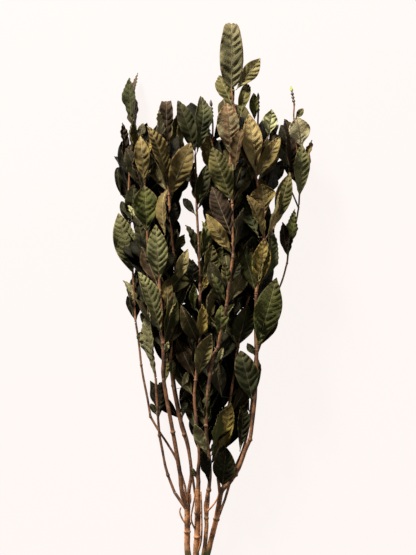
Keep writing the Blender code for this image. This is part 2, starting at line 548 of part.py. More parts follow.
def blade_solid(name, spots, faces, collection):
    """The sheet with its thickness, pressed flat where it lies on the surface."""
    mesh = bpy.data.meshes.new(name)
    mesh.from_pydata([s * MM for s in spots], [], faces)
    sheet = new_object(name + "_sheet", mesh, collection)
    wall = sheet.modifiers.new("thickness", "SOLIDIFY")
    wall.thickness = BLADE_THICKNESS * MM
    wall.offset = 0
    bpy.context.view_layer.update()
    thick = bpy.data.meshes.new_from_object(sheet.evaluated_get(bpy.context.evaluated_depsgraph_get()))
    bpy.data.objects.remove(sheet, do_unlink=True)
    body = bmesh.new()
    body.from_mesh(thick)
    body.verts.ensure_lookup_table()
    bmesh.ops.pointmerge(body, verts=[body.verts[0], body.verts[len(spots)]], merge_co=spots[0] * MM)
    body.to_mesh(thick)
    body.free()
    press(thick)
    return new_object(name, thick, collection)


def press(mesh):
    for vertex in mesh.vertices:
        if vertex.co.z < FLAT_BAND * MM:
            vertex.co.z = 0


def fuse(trunk, repeats):
    """Joins a collection of solids to a trunk with one Boolean union."""
    union = trunk.modifiers.new("union", "BOOLEAN")
    union.operation = "UNION"
    union.operand_type = "COLLECTION"
    union.collection = repeats
    union.solver = "MANIFOLD"
    bpy.context.view_layer.update()
    mesh = bpy.data.meshes.new_from_object(trunk.evaluated_get(bpy.context.evaluated_depsgraph_get()))
    trunk.modifiers.remove(union)
    trunk.data = mesh
    for obj in list(repeats.objects):
        bpy.data.objects.remove(obj, do_unlink=True)
    bpy.data.collections.remove(repeats)


def keep_outer_shell(mesh):
    """Fills hollows that the union sealed and drops loose scraps: only the largest shell stays."""
    body = bmesh.new()
    body.from_mesh(mesh)
    left = set(body.verts)
    shells = []
    while left:
        front = [left.pop()]
        shell = set(front)
        while front:
            for edge in front.pop().link_edges:
                for vertex in edge.verts:
                    if vertex in left:
                        left.remove(vertex)
                        shell.add(vertex)
                        front.append(vertex)
        shells.append(shell)
    shells.sort(key=len)
    for shell in shells[:-1]:
        bmesh.ops.delete(body, geom=list(shell), context="VERTS")
    body.to_mesh(mesh)
    body.free()


def fork_stub(name):
    _, inside, end = FORKS[name]
    return [inside, end]


def build_twigs(scratch):
    """The stems of every node as separate tubes, the first one the longest."""
    tubes = {"woody_stem": [tube(f"limb_{i}", path, scratch) for i, path in enumerate(LIMBS)]}
    tubes["woody_stem"] += [tube(f"shoot_{i}", path, scratch) for i, path in enumerate(SHOOTS)]
    for name in TWIGS:
        tubes[name] = [tube(f"{name}_twig_{i}", path, scratch) for i, path in enumerate(twig_paths(name))]
    for name, (carrier, _, _) in FORKS.items():
        tubes[carrier].append(tube(f"{name}_stub", fork_stub(name), scratch))
    return tubes


def centre_on_origin(nodes):
    """Moves the meshes so that the origin is under the middle of their common box."""
    corners = np.array([v.co[:] for node in nodes for v in node.data.vertices])
    middle = (corners.min(axis=0) + corners.max(axis=0)) / 2
    for node in nodes:
        for vertex in node.data.vertices:
            vertex.co.x -= middle[0]
            vertex.co.y -= middle[1]


def build():
    clear_scene()
    parts = bpy.data.collections.new("preserved_leaf_stem")
    scratch = bpy.data.collections.new("scratch")
    bpy.context.scene.collection.children.link(parts)
    bpy.context.scene.collection.children.link(scratch)
    bark = make_material("bark", (0.22, 0.13, 0.07), 0.75)
    tubes = build_twigs(scratch)
    blades = place_all(tubes)
    nodes = []
    for name, (first, *others) in tubes.items():
        repeats = bpy.data.collections.new(name + "_repeats")
        bpy.context.scene.collection.children.link(repeats)
        for solid in others:
            scratch.objects.unlink(solid)
            repeats.objects.link(solid)
        for blade in blades.get(name, []):
            blade_solid(*blade, repeats)
        fuse(first, repeats)
        keep_outer_shell(first.data)
        press(first.data)
        scratch.objects.unlink(first)
        parts.objects.link(first)
        first.name = name if name == "woody_stem" else name + "_branch"
        first.data.name = first.name
        first.data.shade_smooth()
        first.data.set_sharp_from_angle(angle=SHARP_FROM)
        first.data.materials.clear()
        if name == "woody_stem":
            first.data.materials.append(bark)
        else:
            tint = NODE_TINTS[name]
            first.data.materials.append(make_material(f"{name}_leaves", TINTS[tint], 0.6))
        nodes.append(first)
    centre_on_origin(nodes)
    bpy.data.collections.remove(scratch)


build()
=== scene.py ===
"""Looks of the preserved leafy stem: ribbed leaves, bark, buds, floor, light and camera.

The tables are those of the solids, in millimetres from the middle of the cut foot, +Y along the stem, +Z up.
A twig point is (across, along, height, radius), with RING as a fifth value at a swollen leaf node.
A leaf is (tip across, tip along, base across, base along, width seen from above, rise of the tip, look).
Each leaf keeps the place, length, width, roll and bow of its solid and adds a cup, curl, ribs and veins.
"""

import math
import random

import bpy
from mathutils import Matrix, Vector


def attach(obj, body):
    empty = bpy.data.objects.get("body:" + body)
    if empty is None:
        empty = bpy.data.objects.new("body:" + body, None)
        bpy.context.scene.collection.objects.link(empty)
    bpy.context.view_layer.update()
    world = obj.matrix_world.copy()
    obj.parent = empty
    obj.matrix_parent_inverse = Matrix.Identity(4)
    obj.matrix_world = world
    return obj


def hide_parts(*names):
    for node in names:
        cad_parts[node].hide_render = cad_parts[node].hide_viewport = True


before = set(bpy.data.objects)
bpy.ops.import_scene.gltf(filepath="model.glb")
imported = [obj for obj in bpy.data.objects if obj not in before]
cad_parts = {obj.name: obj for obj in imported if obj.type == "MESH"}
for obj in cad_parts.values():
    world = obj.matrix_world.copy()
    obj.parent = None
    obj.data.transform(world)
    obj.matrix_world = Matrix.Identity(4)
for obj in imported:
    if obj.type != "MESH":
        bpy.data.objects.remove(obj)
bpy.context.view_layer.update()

MM = 0.001
RING = True
PRESSED = None  # in place of a rise: the leaf hangs down and lies flat on the surface

FOOT_ACROSS = -18.0
JOINT_GAP = 0.3
FORK_RUN = 3  # how far a twig first runs on in the line of its fork
END_MARGIN = 1.5  # from a leaf's root to the end of its twig
NECK_CLEARANCE = 2.5  # from the bark to the start of the blade
SLIMMEST_BLADE = 0.32  # its width over its length
STEEPEST_ROLL = math.radians(72)
RING_HALF_LENGTH = 3.5
PRESSED_DEPTH = -8.0  # where the tip of a pressed leaf would end, were there no surface
RISES = (0, 5, -5, 10, -10, 16, -16, 22, -22, 30, -30, 38)  # the bends that a solid may have been given
SOLID_LEEWAY = 0.8  # between a leaf's tip in the table and in its solid

CAMERA_HEIGHT = 5.0  # metres above the middle of the foliage
FOCUS_HEIGHT = 50
FRAME_LENGTH = 693.75  # what the picture's long side covers
PHOTO_MIDDLE = (-5, 386.9)
SENSOR_WIDTH = 36
SIGHT_END = 30  # metres
# Lamps: name, place and aim in metres, size and power.
LAMPS = [("key_lamp", (-0.75, 1.8, 0.95), (0, 0.05, 0), 0.4, 164),
         ("fill_lamp", (1.1, -0.5, 1.6), (0, 0, 0), 1.4, 8)]
LAMP_COLOUR = (1.0, 0.98, 0.95)
SKY_COLOUR = (1.0, 0.985, 0.97, 1)
SKY_STRENGTH = 0.12
FLOOR_HALF = 3.0  # metres
FLOOR_DEPTH = 0.2  # below the surface that the stem lies on

LIMBS = [
    [(-18, 0, 7.3, 7.4), (-18, 13, 7.6, 7.3), (-18, 24, 8.6, 6.2), (-19, 32, 11, 4.0)],
    [(-19, 12, 8, 4.8), (-28, 30, 11, 4.2), (-31, 45, 13, 3.8), (-31, 67, 17, 3.7, RING),
     (-31, 90, 22, 3.7), (-31, 103, 25.5, 3.9)],
    [(-18, 14, 9.5, 4.8), (-20, 40, 17, 3.9), (-18.5, 61, 22, 3.8, RING), (-18, 91, 28, 3.7, RING),
     (-18, 112, 31.5, 3.4), (-17.5, 122, 33.5, 3.0)],
    [(-17, 14, 10, 3.8), (-10, 42, 22, 2.8), (-7, 72, 28.5, 2.6), (-7, 85, 31, 2.5, RING),
     (-7.5, 99, 34, 2.8), (-7, 106, 36, 2.7)],
    [(-16, 14, 8, 4.4), (-6, 38, 11, 3.7), (-1, 57, 15, 3.4), (2.5, 71, 17.5, 3.4),
     (5.5, 83, 20, 3.3, RING), (7.6, 96, 23, 3.2)],
]
SHOOTS = [
    [(-32, 76, 20, 1.2), (-37.5, 84, 22, 1.1), (-40.5, 92.5, 23, 1.0), (-39, 98, 23.5, 0.8)],
    [(-29, 74, 20, 1.3), (-26.5, 79, 23, 1.1)],
    [(-20, 68, 24, 1.1), (-26, 84, 32, 1.0), (-23, 104, 38, 1.0), (-20, 121, 42, 0.8)],
    [(-19, 38, 18, 1.3), (-13.5, 58, 29, 1.2), (-13, 92, 37, 1.1), (-14, 119, 41, 0.9)],
    [(-7, 93, 33, 1.3), (-1, 99, 38, 1.1), (5, 107, 41, 1.0), (9, 117, 43, 0.8)],
    [(-31, 96, 25, 1.0), (-27, 106, 33, 1.0), (-27, 116, 37, 0.8)],
]
# Where one node grows from another: the node that carries it, the twig point inside that and the fork's end.
FORKS = {
    "left_main": ("woody_stem", (-31.5, 98, 25, 3.2), (-36, 111, 29, 3.0)),
    "left_outer": ("woody_stem", (-32, 95, 24, 2.2), (-45, 114, 24, 1.9)),
    "left_inner": ("woody_stem", (-31, 98, 25, 2.6), (-29, 119, 30, 2.3)),
    "far_left": ("woody_stem", (-31, 92, 22, 2.0), (-33.5, 120, 16, 1.5)),
    "middle": ("woody_stem", (-17.8, 116, 32.3, 3.2), (-17.2, 128, 35, 2.8)),
    "middle_right": ("woody_stem", (-7.3, 102, 35, 2.7), (-6, 112, 37.5, 2.6)),
    "right_main": ("woody_stem", (7, 93, 22.4, 3.2), (8.6, 102, 24.4, 3.2)),
    "back_left": ("woody_stem", (-18, 88, 27, 2.2), (-21, 112, 15, 1.7)),
    "back_middle": ("woody_stem", (-7.5, 74, 28, 2.0), (-5, 100, 19, 1.7)),
    "back_right": ("woody_stem", (4, 76, 18.5, 2.2), (15, 104, 13, 1.7)),
    "inner_right": ("right_main", (10.3, 114, 27, 2.4), (8, 131, 28, 1.9)),
    "far_right": ("right_main", (56, 292, 61, 1.6), (63, 311, 57, 1.3)),
}
TWIGS = {
    "far_left": [
        [(-44, 156, 16, 1.5), (-55, 176, 17, 1.5), (-67.5, 195, 18, 1.5), (-77.5, 212, 19, 1.5, RING),
         (-81, 234, 20, 1.5), (-86, 259, 21, 1.5), (-89, 277, 22, 1.4, RING), (-92.5, 309, 23, 1.4),
         (-96, 331, 24, 1.4, RING), (-99, 387, 26, 1.3, RING), (-101, 421, 28, 1.3), (-103, 452, 30, 1.2),
         (-105, 484, 32, 1.2, RING), (-103, 527, 36, 1.2), (-100, 565, 38, 1.1), (-101, 578, 38, 1.0)],
    ],
    "left_outer": [
        [(-51, 127, 25, 1.8), (-55.5, 139, 26.5, 1.8, RING), (-59, 152, 28, 1.7), (-62.5, 171, 30.5, 1.7),
         (-66, 189, 33, 1.7, RING), (-67.5, 209, 36, 1.6), (-69, 234, 39, 1.6), (-70.5, 261, 43, 1.6, RING),
         (-77.5, 309, 48, 1.5), (-80, 359, 53, 1.5), (-80, 406, 57, 1.5, RING), (-81, 444, 60, 1.4),
         (-84, 496, 62, 1.3, RING), (-83, 534, 62, 1.2), (-88, 554, 62, 1.0)],
    ],
    "left_main": [
        [(-39, 127, 33, 2.9), (-40, 140, 36, 2.8), (-46, 177, 46, 2.7), (-49, 194, 50, 2.6, RING),
         (-55, 227, 57, 2.5), (-61, 265, 65, 2.4), (-60.5, 284, 68, 2.3), (-61, 305, 72, 2.2, RING),
         (-64, 321, 74, 2.0), (-62.5, 346, 77, 1.9), (-65, 371, 80, 1.8, RING), (-66, 409, 84, 1.5),
         (-61, 438, 84, 1.2)],
        [(-60.8, 303, 71.8, 1.5), (-58, 316, 73, 1.3), (-55, 342, 76, 1.1)],
    ],
    "left_inner": [
        [(-26, 140, 34, 2.2), (-27.5, 159, 37, 2.1), (-31, 177, 40, 2.0), (-35, 190, 42, 2.0, RING),
         (-39, 202, 43, 1.9), (-45, 230, 45, 1.9), (-49, 252, 46, 1.9, RING), (-52, 281, 48, 1.8),
         (-51, 302, 49, 1.8), (-49, 346, 52, 1.7, RING), (-46, 396, 55, 1.7), (-49, 427, 57, 1.6, RING),
         (-51, 452, 58, 1.5), (-54, 490, 60, 1.5, RING), (-55, 521, 60, 1.3), (-55, 547, 60, 1.1)],
        [(-55, 526, 60, 1.2), (-47, 538, 61, 1.0), (-41, 546, 62, 0.9)],
    ],
    "middle": [
        [(-17.5, 142, 38, 2.6), (-16, 165, 44, 2.2), (-19, 202, 50, 2.0), (-22, 234, 54, 1.9),
         (-20.5, 259, 57, 1.9, RING), (-16, 302, 60, 1.8, RING), (-15, 346, 62, 1.7),
         (-15, 376, 63, 1.7, RING), (-16, 406, 63, 1.7, RING), (-17, 434, 64, 1.6),
         (-19, 470, 66, 1.6, RING), (-20, 509, 67, 1.4), (-21, 540, 68, 1.3)],
    ],
    "middle_right": [
        [(-4, 121, 39, 2.5, RING), (-2.5, 140, 42, 2.4), (-3, 157, 46, 2.3, RING), (-6, 184, 51, 2.3),
         (-7.5, 202, 55, 2.2, RING), (-6, 234, 60, 2.2), (0, 284, 68, 2.1), (7.5, 300, 71, 2.0, RING),
         (11, 321, 75, 2.0), (18, 352, 80, 1.9, RING), (21, 377, 83, 1.9), (26, 412, 85, 1.8, RING),
         (26, 446, 87, 1.7), (25, 479, 88, 1.6, RING), (22.5, 534, 88, 1.5), (30, 588, 86, 1.3, RING),
         (26, 606, 85, 1.2), (24, 621, 84, 1.0)],
    ],
    "inner_right": [
        [(9, 150, 30, 1.9), (12.5, 184, 34, 1.8), (22.5, 234, 41, 1.7, RING), (32.5, 299, 50, 1.6, RING),
         (41, 345, 56, 1.5), (49, 371, 57, 1.4, RING), (51, 396, 57, 1.0)],
    ],
    "right_main": [
        [(12, 119, 28, 3.3), (21, 129, 32, 3.1), (29, 140, 36, 2.8, RING), (35, 152, 39, 2.7),
         (41, 169, 42, 2.6), (47.5, 184, 46, 2.5, RING), (50, 202, 49, 2.4), (54, 240, 55, 2.3),
         (56, 296, 62, 2.2, RING), (55, 334, 65, 2.0), (55, 367, 69, 2.0, RING), (62, 418, 72, 1.8),
         (65, 434, 73, 1.7, RING), (62.5, 465, 73, 1.6), (55, 511, 73, 1.5, RING), (56, 546, 73, 1.4),
         (57.5, 593, 71, 1.2, RING), (57.5, 609, 71, 0.9)],
        [(55, 532, 73, 1.2), (61, 548, 75, 1.1), (69, 560, 76, 0.9)],
        [(63, 458, 73, 1.2), (70, 477, 71, 1.1), (76, 490, 70, 0.9)],
        [(65, 433, 73, 1.2), (71, 441, 72, 1.1), (78, 450, 71, 0.9)],
    ],
    "far_right": [
        [(72.5, 346, 50, 1.2), (87, 381, 45, 1.2), (94, 405, 42, 1.2, RING), (97.5, 434, 40, 1.2),
         (105, 456, 39, 1.2), (109, 477, 38, 1.1, RING), (110, 521, 38, 1.1), (105, 559, 38, 1.0),
         (102.5, 587, 37, 1.0), (103, 604, 37, 1.0, RING), (100, 621, 37, 1.0)],
        [(108.5, 474, 38, 1.1), (100, 494, 39, 1.0), (92, 510, 39, 0.9)],
    ],
    "back_left": [
        [(-25, 140, 14, 1.7), (-30, 177, 13, 1.7), (-38, 206, 12, 1.6, RING), (-47, 252, 12, 1.6),
         (-51, 300, 13, 1.5, RING), (-53, 350, 15, 1.5, RING), (-53, 400, 17, 1.4, RING),
         (-57, 450, 20, 1.4, RING), (-60, 500, 24, 1.3, RING), (-56, 540, 30, 1.0)],
    ],
    "back_middle": [
        [(-4, 120, 17, 1.7), (-3, 157, 16, 1.7), (-7, 202, 15, 1.6), (-6, 234, 15, 1.6, RING),
         (0, 276, 15, 1.6), (7, 310, 17, 1.5, RING), (13, 350, 22, 1.5, RING), (14, 392, 30, 1.4, RING),
         (7, 430, 38, 1.3), (2, 470, 44, 1.3, RING), (0, 511, 50, 1.3, RING), (0.5, 545, 52, 1.2),
         (1, 577, 54, 1.1), (0, 590, 54, 1.0, RING), (-1, 602, 54, 0.8)],
    ],
    "back_right": [
        [(27, 142, 12, 1.7), (39, 170, 11, 1.7), (47, 202, 11, 1.6, RING), (51, 240, 12, 1.6),
         (55, 290, 13, 1.5, RING), (54, 335, 15, 1.5, RING), (48, 385, 18, 1.4, RING),
         (50, 440, 21, 1.4, RING), (54, 495, 25, 1.3, RING), (52, 540, 30, 1.0)],
    ],
}
LEAVES = {
    "far_left": [
        (-102, 637, -98, 577, 15, 10, "moss"), (-97, 645, -93, 562, 11, 0, "purple"),
        (-114, 581, -110, 532, 11, -5, "purple"), (-106, 584, -99, 527, 10, 12, "khaki"),
        (-120, 542, -100, 486, 16, -10, "black"), (-118, 522, -114, 490, 4, 2, "dark"),
        (-104, 551, -107, 524, 10, -8, "dark"), (-98, 502, -101, 452, 20, 8, "dark"),
        (-114, 484, -103, 449, 11, -8, "dark"), (-101, 476, -97, 446, 8, 14, "pale"),
        (-117, 467, -96, 390, 31, 14, "mint"), (-107, 384, -101, 344, 8, 2, "pale"),
        (-106, 362, -96, 331, 12, -12, "black"), (-92, 396, -95, 346, 9, 6, "black"),
        (-90, 398, -95, 336, 18, PRESSED, "dark"),
    ],
    "left_outer": [
        (-82, 344, -71, 260, 15, 14, "pale"), (-86, 579, -90, 557, 10, 4, "grey"),
        (-89, 561, -85, 499, 20, 12, "honey"), (-77, 560, -82, 534, 10, -4, "yellow"),
        (-101, 534, -88, 496, 8, 6, "purple"), (-84, 500, -80, 441, 34, 16, "green"),
        (-64, 257, -65, 206, 20, -4, "black"), (-77, 229, -69, 211, 8, -2, "dark"),
        (-92, 455, -80, 406, 18, -8, "dark"), (-70, 448, -80, 402, 18, -12, "olive"),
        (-94, 316, -77, 306, 12, -8, "dark"), (-67, 345, -78, 318, 14, -10, "olive"),
    ],
    "left_main": [
        (-89, 394, -66, 309, 24, 12, "mint"), (-55, 387, -55, 344, 16, 6, "honey"),
        (-47, 359, -59, 309, 12, 10, "olive"), (-70, 452, -66, 379, 27, 6, "mint"),
        (-62, 496, -58, 440, 15, -4, "tan"), (-55, 286, -55, 252, 9, 4, "olive"),
        (-54, 307, -58, 290, 7, 6, "pale"), (-75, 440, -66, 400, 14, -12, "dark"),
    ],
    "left_inner": [
        (-68, 595, -68, 547, 10, 16, "cream"), (-77, 575, -54, 499, 20, 14, "honey"),
        (-57, 606, -55, 545, 18, 4, "umber"), (-46, 590, -52, 546, 10, 6, "olive"),
        (-44, 581, -40, 548, 9, -2, "khaki"), (-27, 553, -51, 487, 28, 20, "honey"),
        (-46, 480, -48, 442, 14, 2, "black"), (-34, 441, -44, 418, 12, 4, "dark"),
        (-30, 422, -45, 376, 15, 14, "khaki"), (-27, 381, -45, 336, 11, 6, "grey"),
        (-49, 284, -46, 260, 8, 4, "olive"), (-30, 271, -38, 249, 7, 4, "pale"),
        (-22, 257, -39, 234, 9, -6, "dark"), (-31, 231, -41, 214, 8, -4, "dark"),
        (-66, 540, -55, 494, 18, -12, "olive"), (-62, 428, -49, 392, 16, -10, "dark"),
    ],
    "middle": [
        (-41, 607, -21, 544, 21, 8, "dark"), (-9, 612, -19, 542, 20, 4, "moss"),
        (-7, 526, -20, 472, 19, 10, "dark"), (-36, 486, -22, 462, 10, -6, "black"),
        (-27, 521, -22, 477, 9, -10, "purple"), (-30, 453, -18, 406, 10, 6, "dark"),
        (-7, 455, -15, 406, 11, 8, "green"), (1, 427, -5, 390, 19, 0, "olive"),
        (-24, 409, -24, 381, 16, 8, "black"), (-22, 380, -22, 346, 11, 4, "green"),
        (-1, 392, -11, 365, 8, 8, "yellow"), (-4, 376, -6, 327, 11, 10, "khaki"),
        (-10, 352, -21, 302, 14, 14, "yellow"), (-5, 327, -12, 312, 8, 6, "yellow"),
        (0, 319, -19, 261, 21, 12, "khaki"), (-27, 321, -24, 266, 9, 4, "grey"),
        (-25, 148, -19, 131, 6, 4, "olive"),
    ],
    "back_middle": [
        (-7, 600, -3, 577, 9, 4, "purple"), (-11, 589, -3, 562, 7, 6, "peach"),
        (-5, 569, 0, 511, 15, 10, "tan"), (2, 374, 7, 310, 24, PRESSED, "dark"),
    ],
    "middle_right": [
        (24, 701, 24, 622, 30, 6, "dull"), (60, 659, 30, 620, 20, 2, "khaki"),
        (8, 640, 30, 590, 22, -8, "olive"), (44, 630, 34, 584, 16, -6, "olive"),
        (19, 602, 25, 535, 30, 12, "edged"), (37, 574, 29, 521, 14, 6, "brown"),
        (1, 547, 25, 479, 28, 12, "olive"), (0, 500, 24, 434, 25, -4, "umber"),
        (32, 474, 28, 415, 8, 6, "grey"), (-7, 465, 24, 414, 19, 12, "tan"),
        (16, 406, 21, 371, 12, 6, "olive"), (34, 406, 24, 374, 12, -4, "dark"),
        (0, 391, 16, 355, 12, 8, "green"), (12, 352, 9, 309, 16, 6, "green"),
        (24, 355, 17, 318, 7, 2, "pale"), (-5, 231, -9, 202, 10, 4, "green"),
        (-1, 257, -5, 205, 7, 8, "green"), (-22, 205, -6, 159, 15, 10, "pale"),
        (7, 224, -1, 163, 10, 8, "green"), (14, 299, 5, 280, 7, 4, "pale"),
        (42, 532, 27, 482, 16, -18, "black"), (-14, 171, -6, 126, 12, 6, "black"),
    ],
    "inner_right": [
        (4, 282, 12, 238, 21, 12, "grey"), (23, 230, 9, 163, 22, 16, "yellow"),
        (44, 352, 30, 299, 28, 10, "dark"), (44, 428, 50, 373, 17, 0, "brown"),
        (33, 412, 46, 366, 16, -8, "dark"), (18, 355, 31, 300, 16, -10, "dark"),
        (66, 428, 51, 390, 16, -8, "dark"), (34, 284, 24, 238, 16, -8, "black"),
    ],
    "right_main": [
        (46, 589, 57, 511, 27, 16, "straw"), (84, 561, 58, 511, 18, 8, "honey"),
        (74, 596, 70, 563, 20, 6, "light"), (82, 577, 71, 556, 10, -2, "purple"),
        (52, 616, 53, 584, 12, 4, "green"), (45, 489, 65, 434, 14, 16, "tan"),
        (86, 496, 68, 438, 15, 8, "straw"), (60, 511, 68, 488, 11, 6, "yellow"),
        (62, 503, 67, 466, 34, 8, "honey"), (97, 517, 79, 452, 23, 8, "olive"),
        (35, 527, 55, 481, 17, -14, "black"), (38, 488, 58, 437, 22, -10, "moss"),
        (66, 436, 52, 370, 24, 8, "yellow"), (77, 446, 57, 369, 17, 0, "moss"),
        (80, 386, 56, 297, 34, 14, "green"), (36, 295, 50, 227, 30, 12, "moss"),
        (44, 305, 53, 286, 9, 0, "dark"), (39, 229, 35, 169, 19, -6, "dark"),
        (18, 172, 13, 119, 29, 8, "dark"), (72, 350, 56, 298, 20, -14, "moss"),
        (56, 286, 53, 238, 14, -8, "moss"),
    ],
    "far_right": [
        (88, 457, 94, 411, 15, 6, "purple"), (109, 472, 95, 411, 13, 8, "green"),
        (107, 587, 112, 550, 29, 10, "cream"), (113, 553, 109, 484, 21, 12, "mint"),
        (126, 559, 120, 515, 7, 2, "tan"), (96, 587, 96, 513, 19, -4, "umber"),
        (114, 598, 105, 584, 8, 4, "olive"),
    ],
    "back_left": [
        (-62, 414, -53, 352, 24, PRESSED, "dark"), (-50, 563, -59, 502, 22, PRESSED, "olive"),
    ],
    "back_right": [
        (40, 446, 48, 386, 24, PRESSED, "dark"), (44, 556, 54, 496, 22, PRESSED, "olive"),
        (66, 398, 54, 336, 22, PRESSED, "dark"),
    ],
}
# Leaves behind, which no view from above shows whole: pairs at each ring from this place along the twig.
PAIRS_FROM = {"back_left": 200, "back_middle": 230, "back_right": 200, "far_left": 270, "left_outer": 255,
              "left_main": 300, "left_inner": 340, "middle": 255, "middle_right": 345, "inner_right": 290,
              "right_main": 290, "far_right": 400}
FALLEN = 0.2  # share of them that the twig has lost
PAIR_SPREAD = (16, 32)  # degrees from the twig, in plan
PAIR_LENGTH = (52, 66)
PAIR_WIDTH = (17, 23)
PAIR_RISE = (-22, -8)
PAIR_TINTS = ("dark", "olive", "khaki", "brown", "green")

# Where dark leaves behind, which the solids leave out, fill a twig: from and to along it. Their darkness is
# partly painted shade.
FILLED = {"far_left": (290, 540), "left_outer": (240, 520), "left_main": (255, 420), "left_inner": (205, 520),
          "middle": (150, 520), "middle_right": (150, 590), "inner_right": (165, 385),
          "right_main": (150, 580), "far_right": (420, 560), "back_left": (215, 520),
          "back_middle": (160, 585), "back_right": (215, 525)}
FILL_STEP = 21
FILL_STEP_CHANGE = (0.8, 1.2)
FILL_TRIES = 4  # the draws that a leaf has to keep inside the foliage
FILL_SPREAD = (8, 42)  # degrees from the stem's line, in plan
FILL_LENGTH = (46, 66)
FILL_WIDTH = (16, 24)
FILL_DROP = (0.5, 0.9)  # how far its tip sinks, over the height of its twig
# mostly near-black and dark looks: partly painted shade deep in the foliage
FILL_LOOKS = ("black", "dark", "dark", "black", "olive")
# Leaves behind that stand outside the rule.
EXTRAS = {"inner_right": [(26, 268, 13, 220, 20, -10, "black")],
          "far_left": [(-117, 528, -103, 478, 22, -12, "black"), (-113, 556, -106, 512, 18, -14, "black")]}

# Openings in the foliage: low and high corner in plan.
GAPS = [(24, 606, 36, 622), (-21, 519, -9, 548), (-37, 408, -19, 486), (-3, 423, 2, 437), (17, 410, 20, 422),
        (47, 435, 53, 443), (80, 384, 112, 486), (-26, 308, -22, 335), (39, 284, 54, 321), (15, 236, 25, 250),
        (-58, 190, -40, 232), (-14, 590, 4, 615)]
# The reach of the foliage: place along the stem, then its left and right edge.
REACH = [(130, -24, 26), (165, -30, 36), (200, -34, 48), (235, -38, 56), (262, -60, 58), (300, -80, 62),
         (335, -96, 84), (370, -100, 92), (400, -112, 92), (440, -122, 98), (480, -122, 110),
         (515, -118, 122), (560, -114, 122), (580, -104, 118), (592, -76, 58), (604, -50, 40),
         (620, 6, 44), (700, 8, 40)]

# Leaves with a shape of their own: how far the tip turns in radians, the place along the blade where that
# starts, the cup across it, the twist and the relief of its ribs.
OWN_SHAPES = {
    "far_left_leaf_00": (0.2, 0.6, 0.3, 0.0, 0.8), "far_left_leaf_01": (-0.2, 0.6, 0.1, 0.0, 0.9),
    "far_left_leaf_02": (0.2, 0.6, 0.3, 0.0, 1.2), "far_left_leaf_05": (0.1, 0.6, 0.1, 0.0, 0.2),
    "far_left_leaf_10": (-0.3, 0.6, 0.15, 0.15, 2.8), "left_outer_leaf_05": (-0.4, 0.6, 0.2, -0.3, 2.8),
    "left_main_leaf_00": (-0.3, 0.6, 0.15, 0.2, 3.0), "left_main_leaf_03": (-0.3, 0.6, 0.15, -0.15, 2.9),
    "left_inner_leaf_00": (0.2, 0.6, 0.3, 0.0, 1.6), "left_inner_leaf_01": (-0.3, 0.6, 0.25, 0.3, 2.8),
    "left_inner_leaf_02": (-2.6, 0.78, 0.5, 0.1, 1.8), "left_inner_leaf_05": (-0.4, 0.6, 0.3, 0.5, 2.2),
    "middle_right_leaf_00": (-2.6, 0.75, 0.12, 0.0, -3.6), "middle_right_leaf_01": (0.2, 0.6, 0.3, 0.3, 2.0),
    "middle_right_leaf_04": (-0.4, 0.7, 0.15, 0.1, -2.6), "middle_right_leaf_06": (-0.4, 0.6, 0.25, 0.2, 2.4),
    "middle_right_leaf_07": (-0.3, 0.6, 0.2, 0.1, 2.0), "middle_right_leaf_09": (-0.3, 0.6, 0.2, 0.3, -1.6),
    "inner_right_leaf_01": (-0.3, 0.6, 0.12, -0.1, -2.4), "right_main_leaf_00": (-0.3, 0.6, 0.2, -0.2, -2.6),
    "right_main_leaf_02": (0.2, 0.6, 0.15, 0.0, 2.2), "right_main_leaf_12": (-0.3, 0.6, 0.25, -0.3, -2.2),
    "right_main_leaf_14": (-0.3, 0.6, 0.15, 0.2, 3.0), "right_main_leaf_15": (-0.3, 0.6, 0.2, 0.2, 3.0),
    "far_right_leaf_02": (-0.3, 0.6, 0.08, 0.0, -1.1), "far_right_leaf_03": (-0.4, 0.6, 0.3, 0.3, -2.6),
    "far_right_leaf_04": (0.1, 0.6, 0.1, 0.0, 0.3),
}
CALMER_SKEW = 0.6  # what such a leaf keeps of the skew and of the turned margin that it would draw
CALMER_MARGIN = 0.5
RIB_COUNTS = {"middle_right_leaf_00": 9}
LOW_WIDEST = {"middle_right_leaf_00": 0.75}  # a lean under 1: the blade is widest below its middle

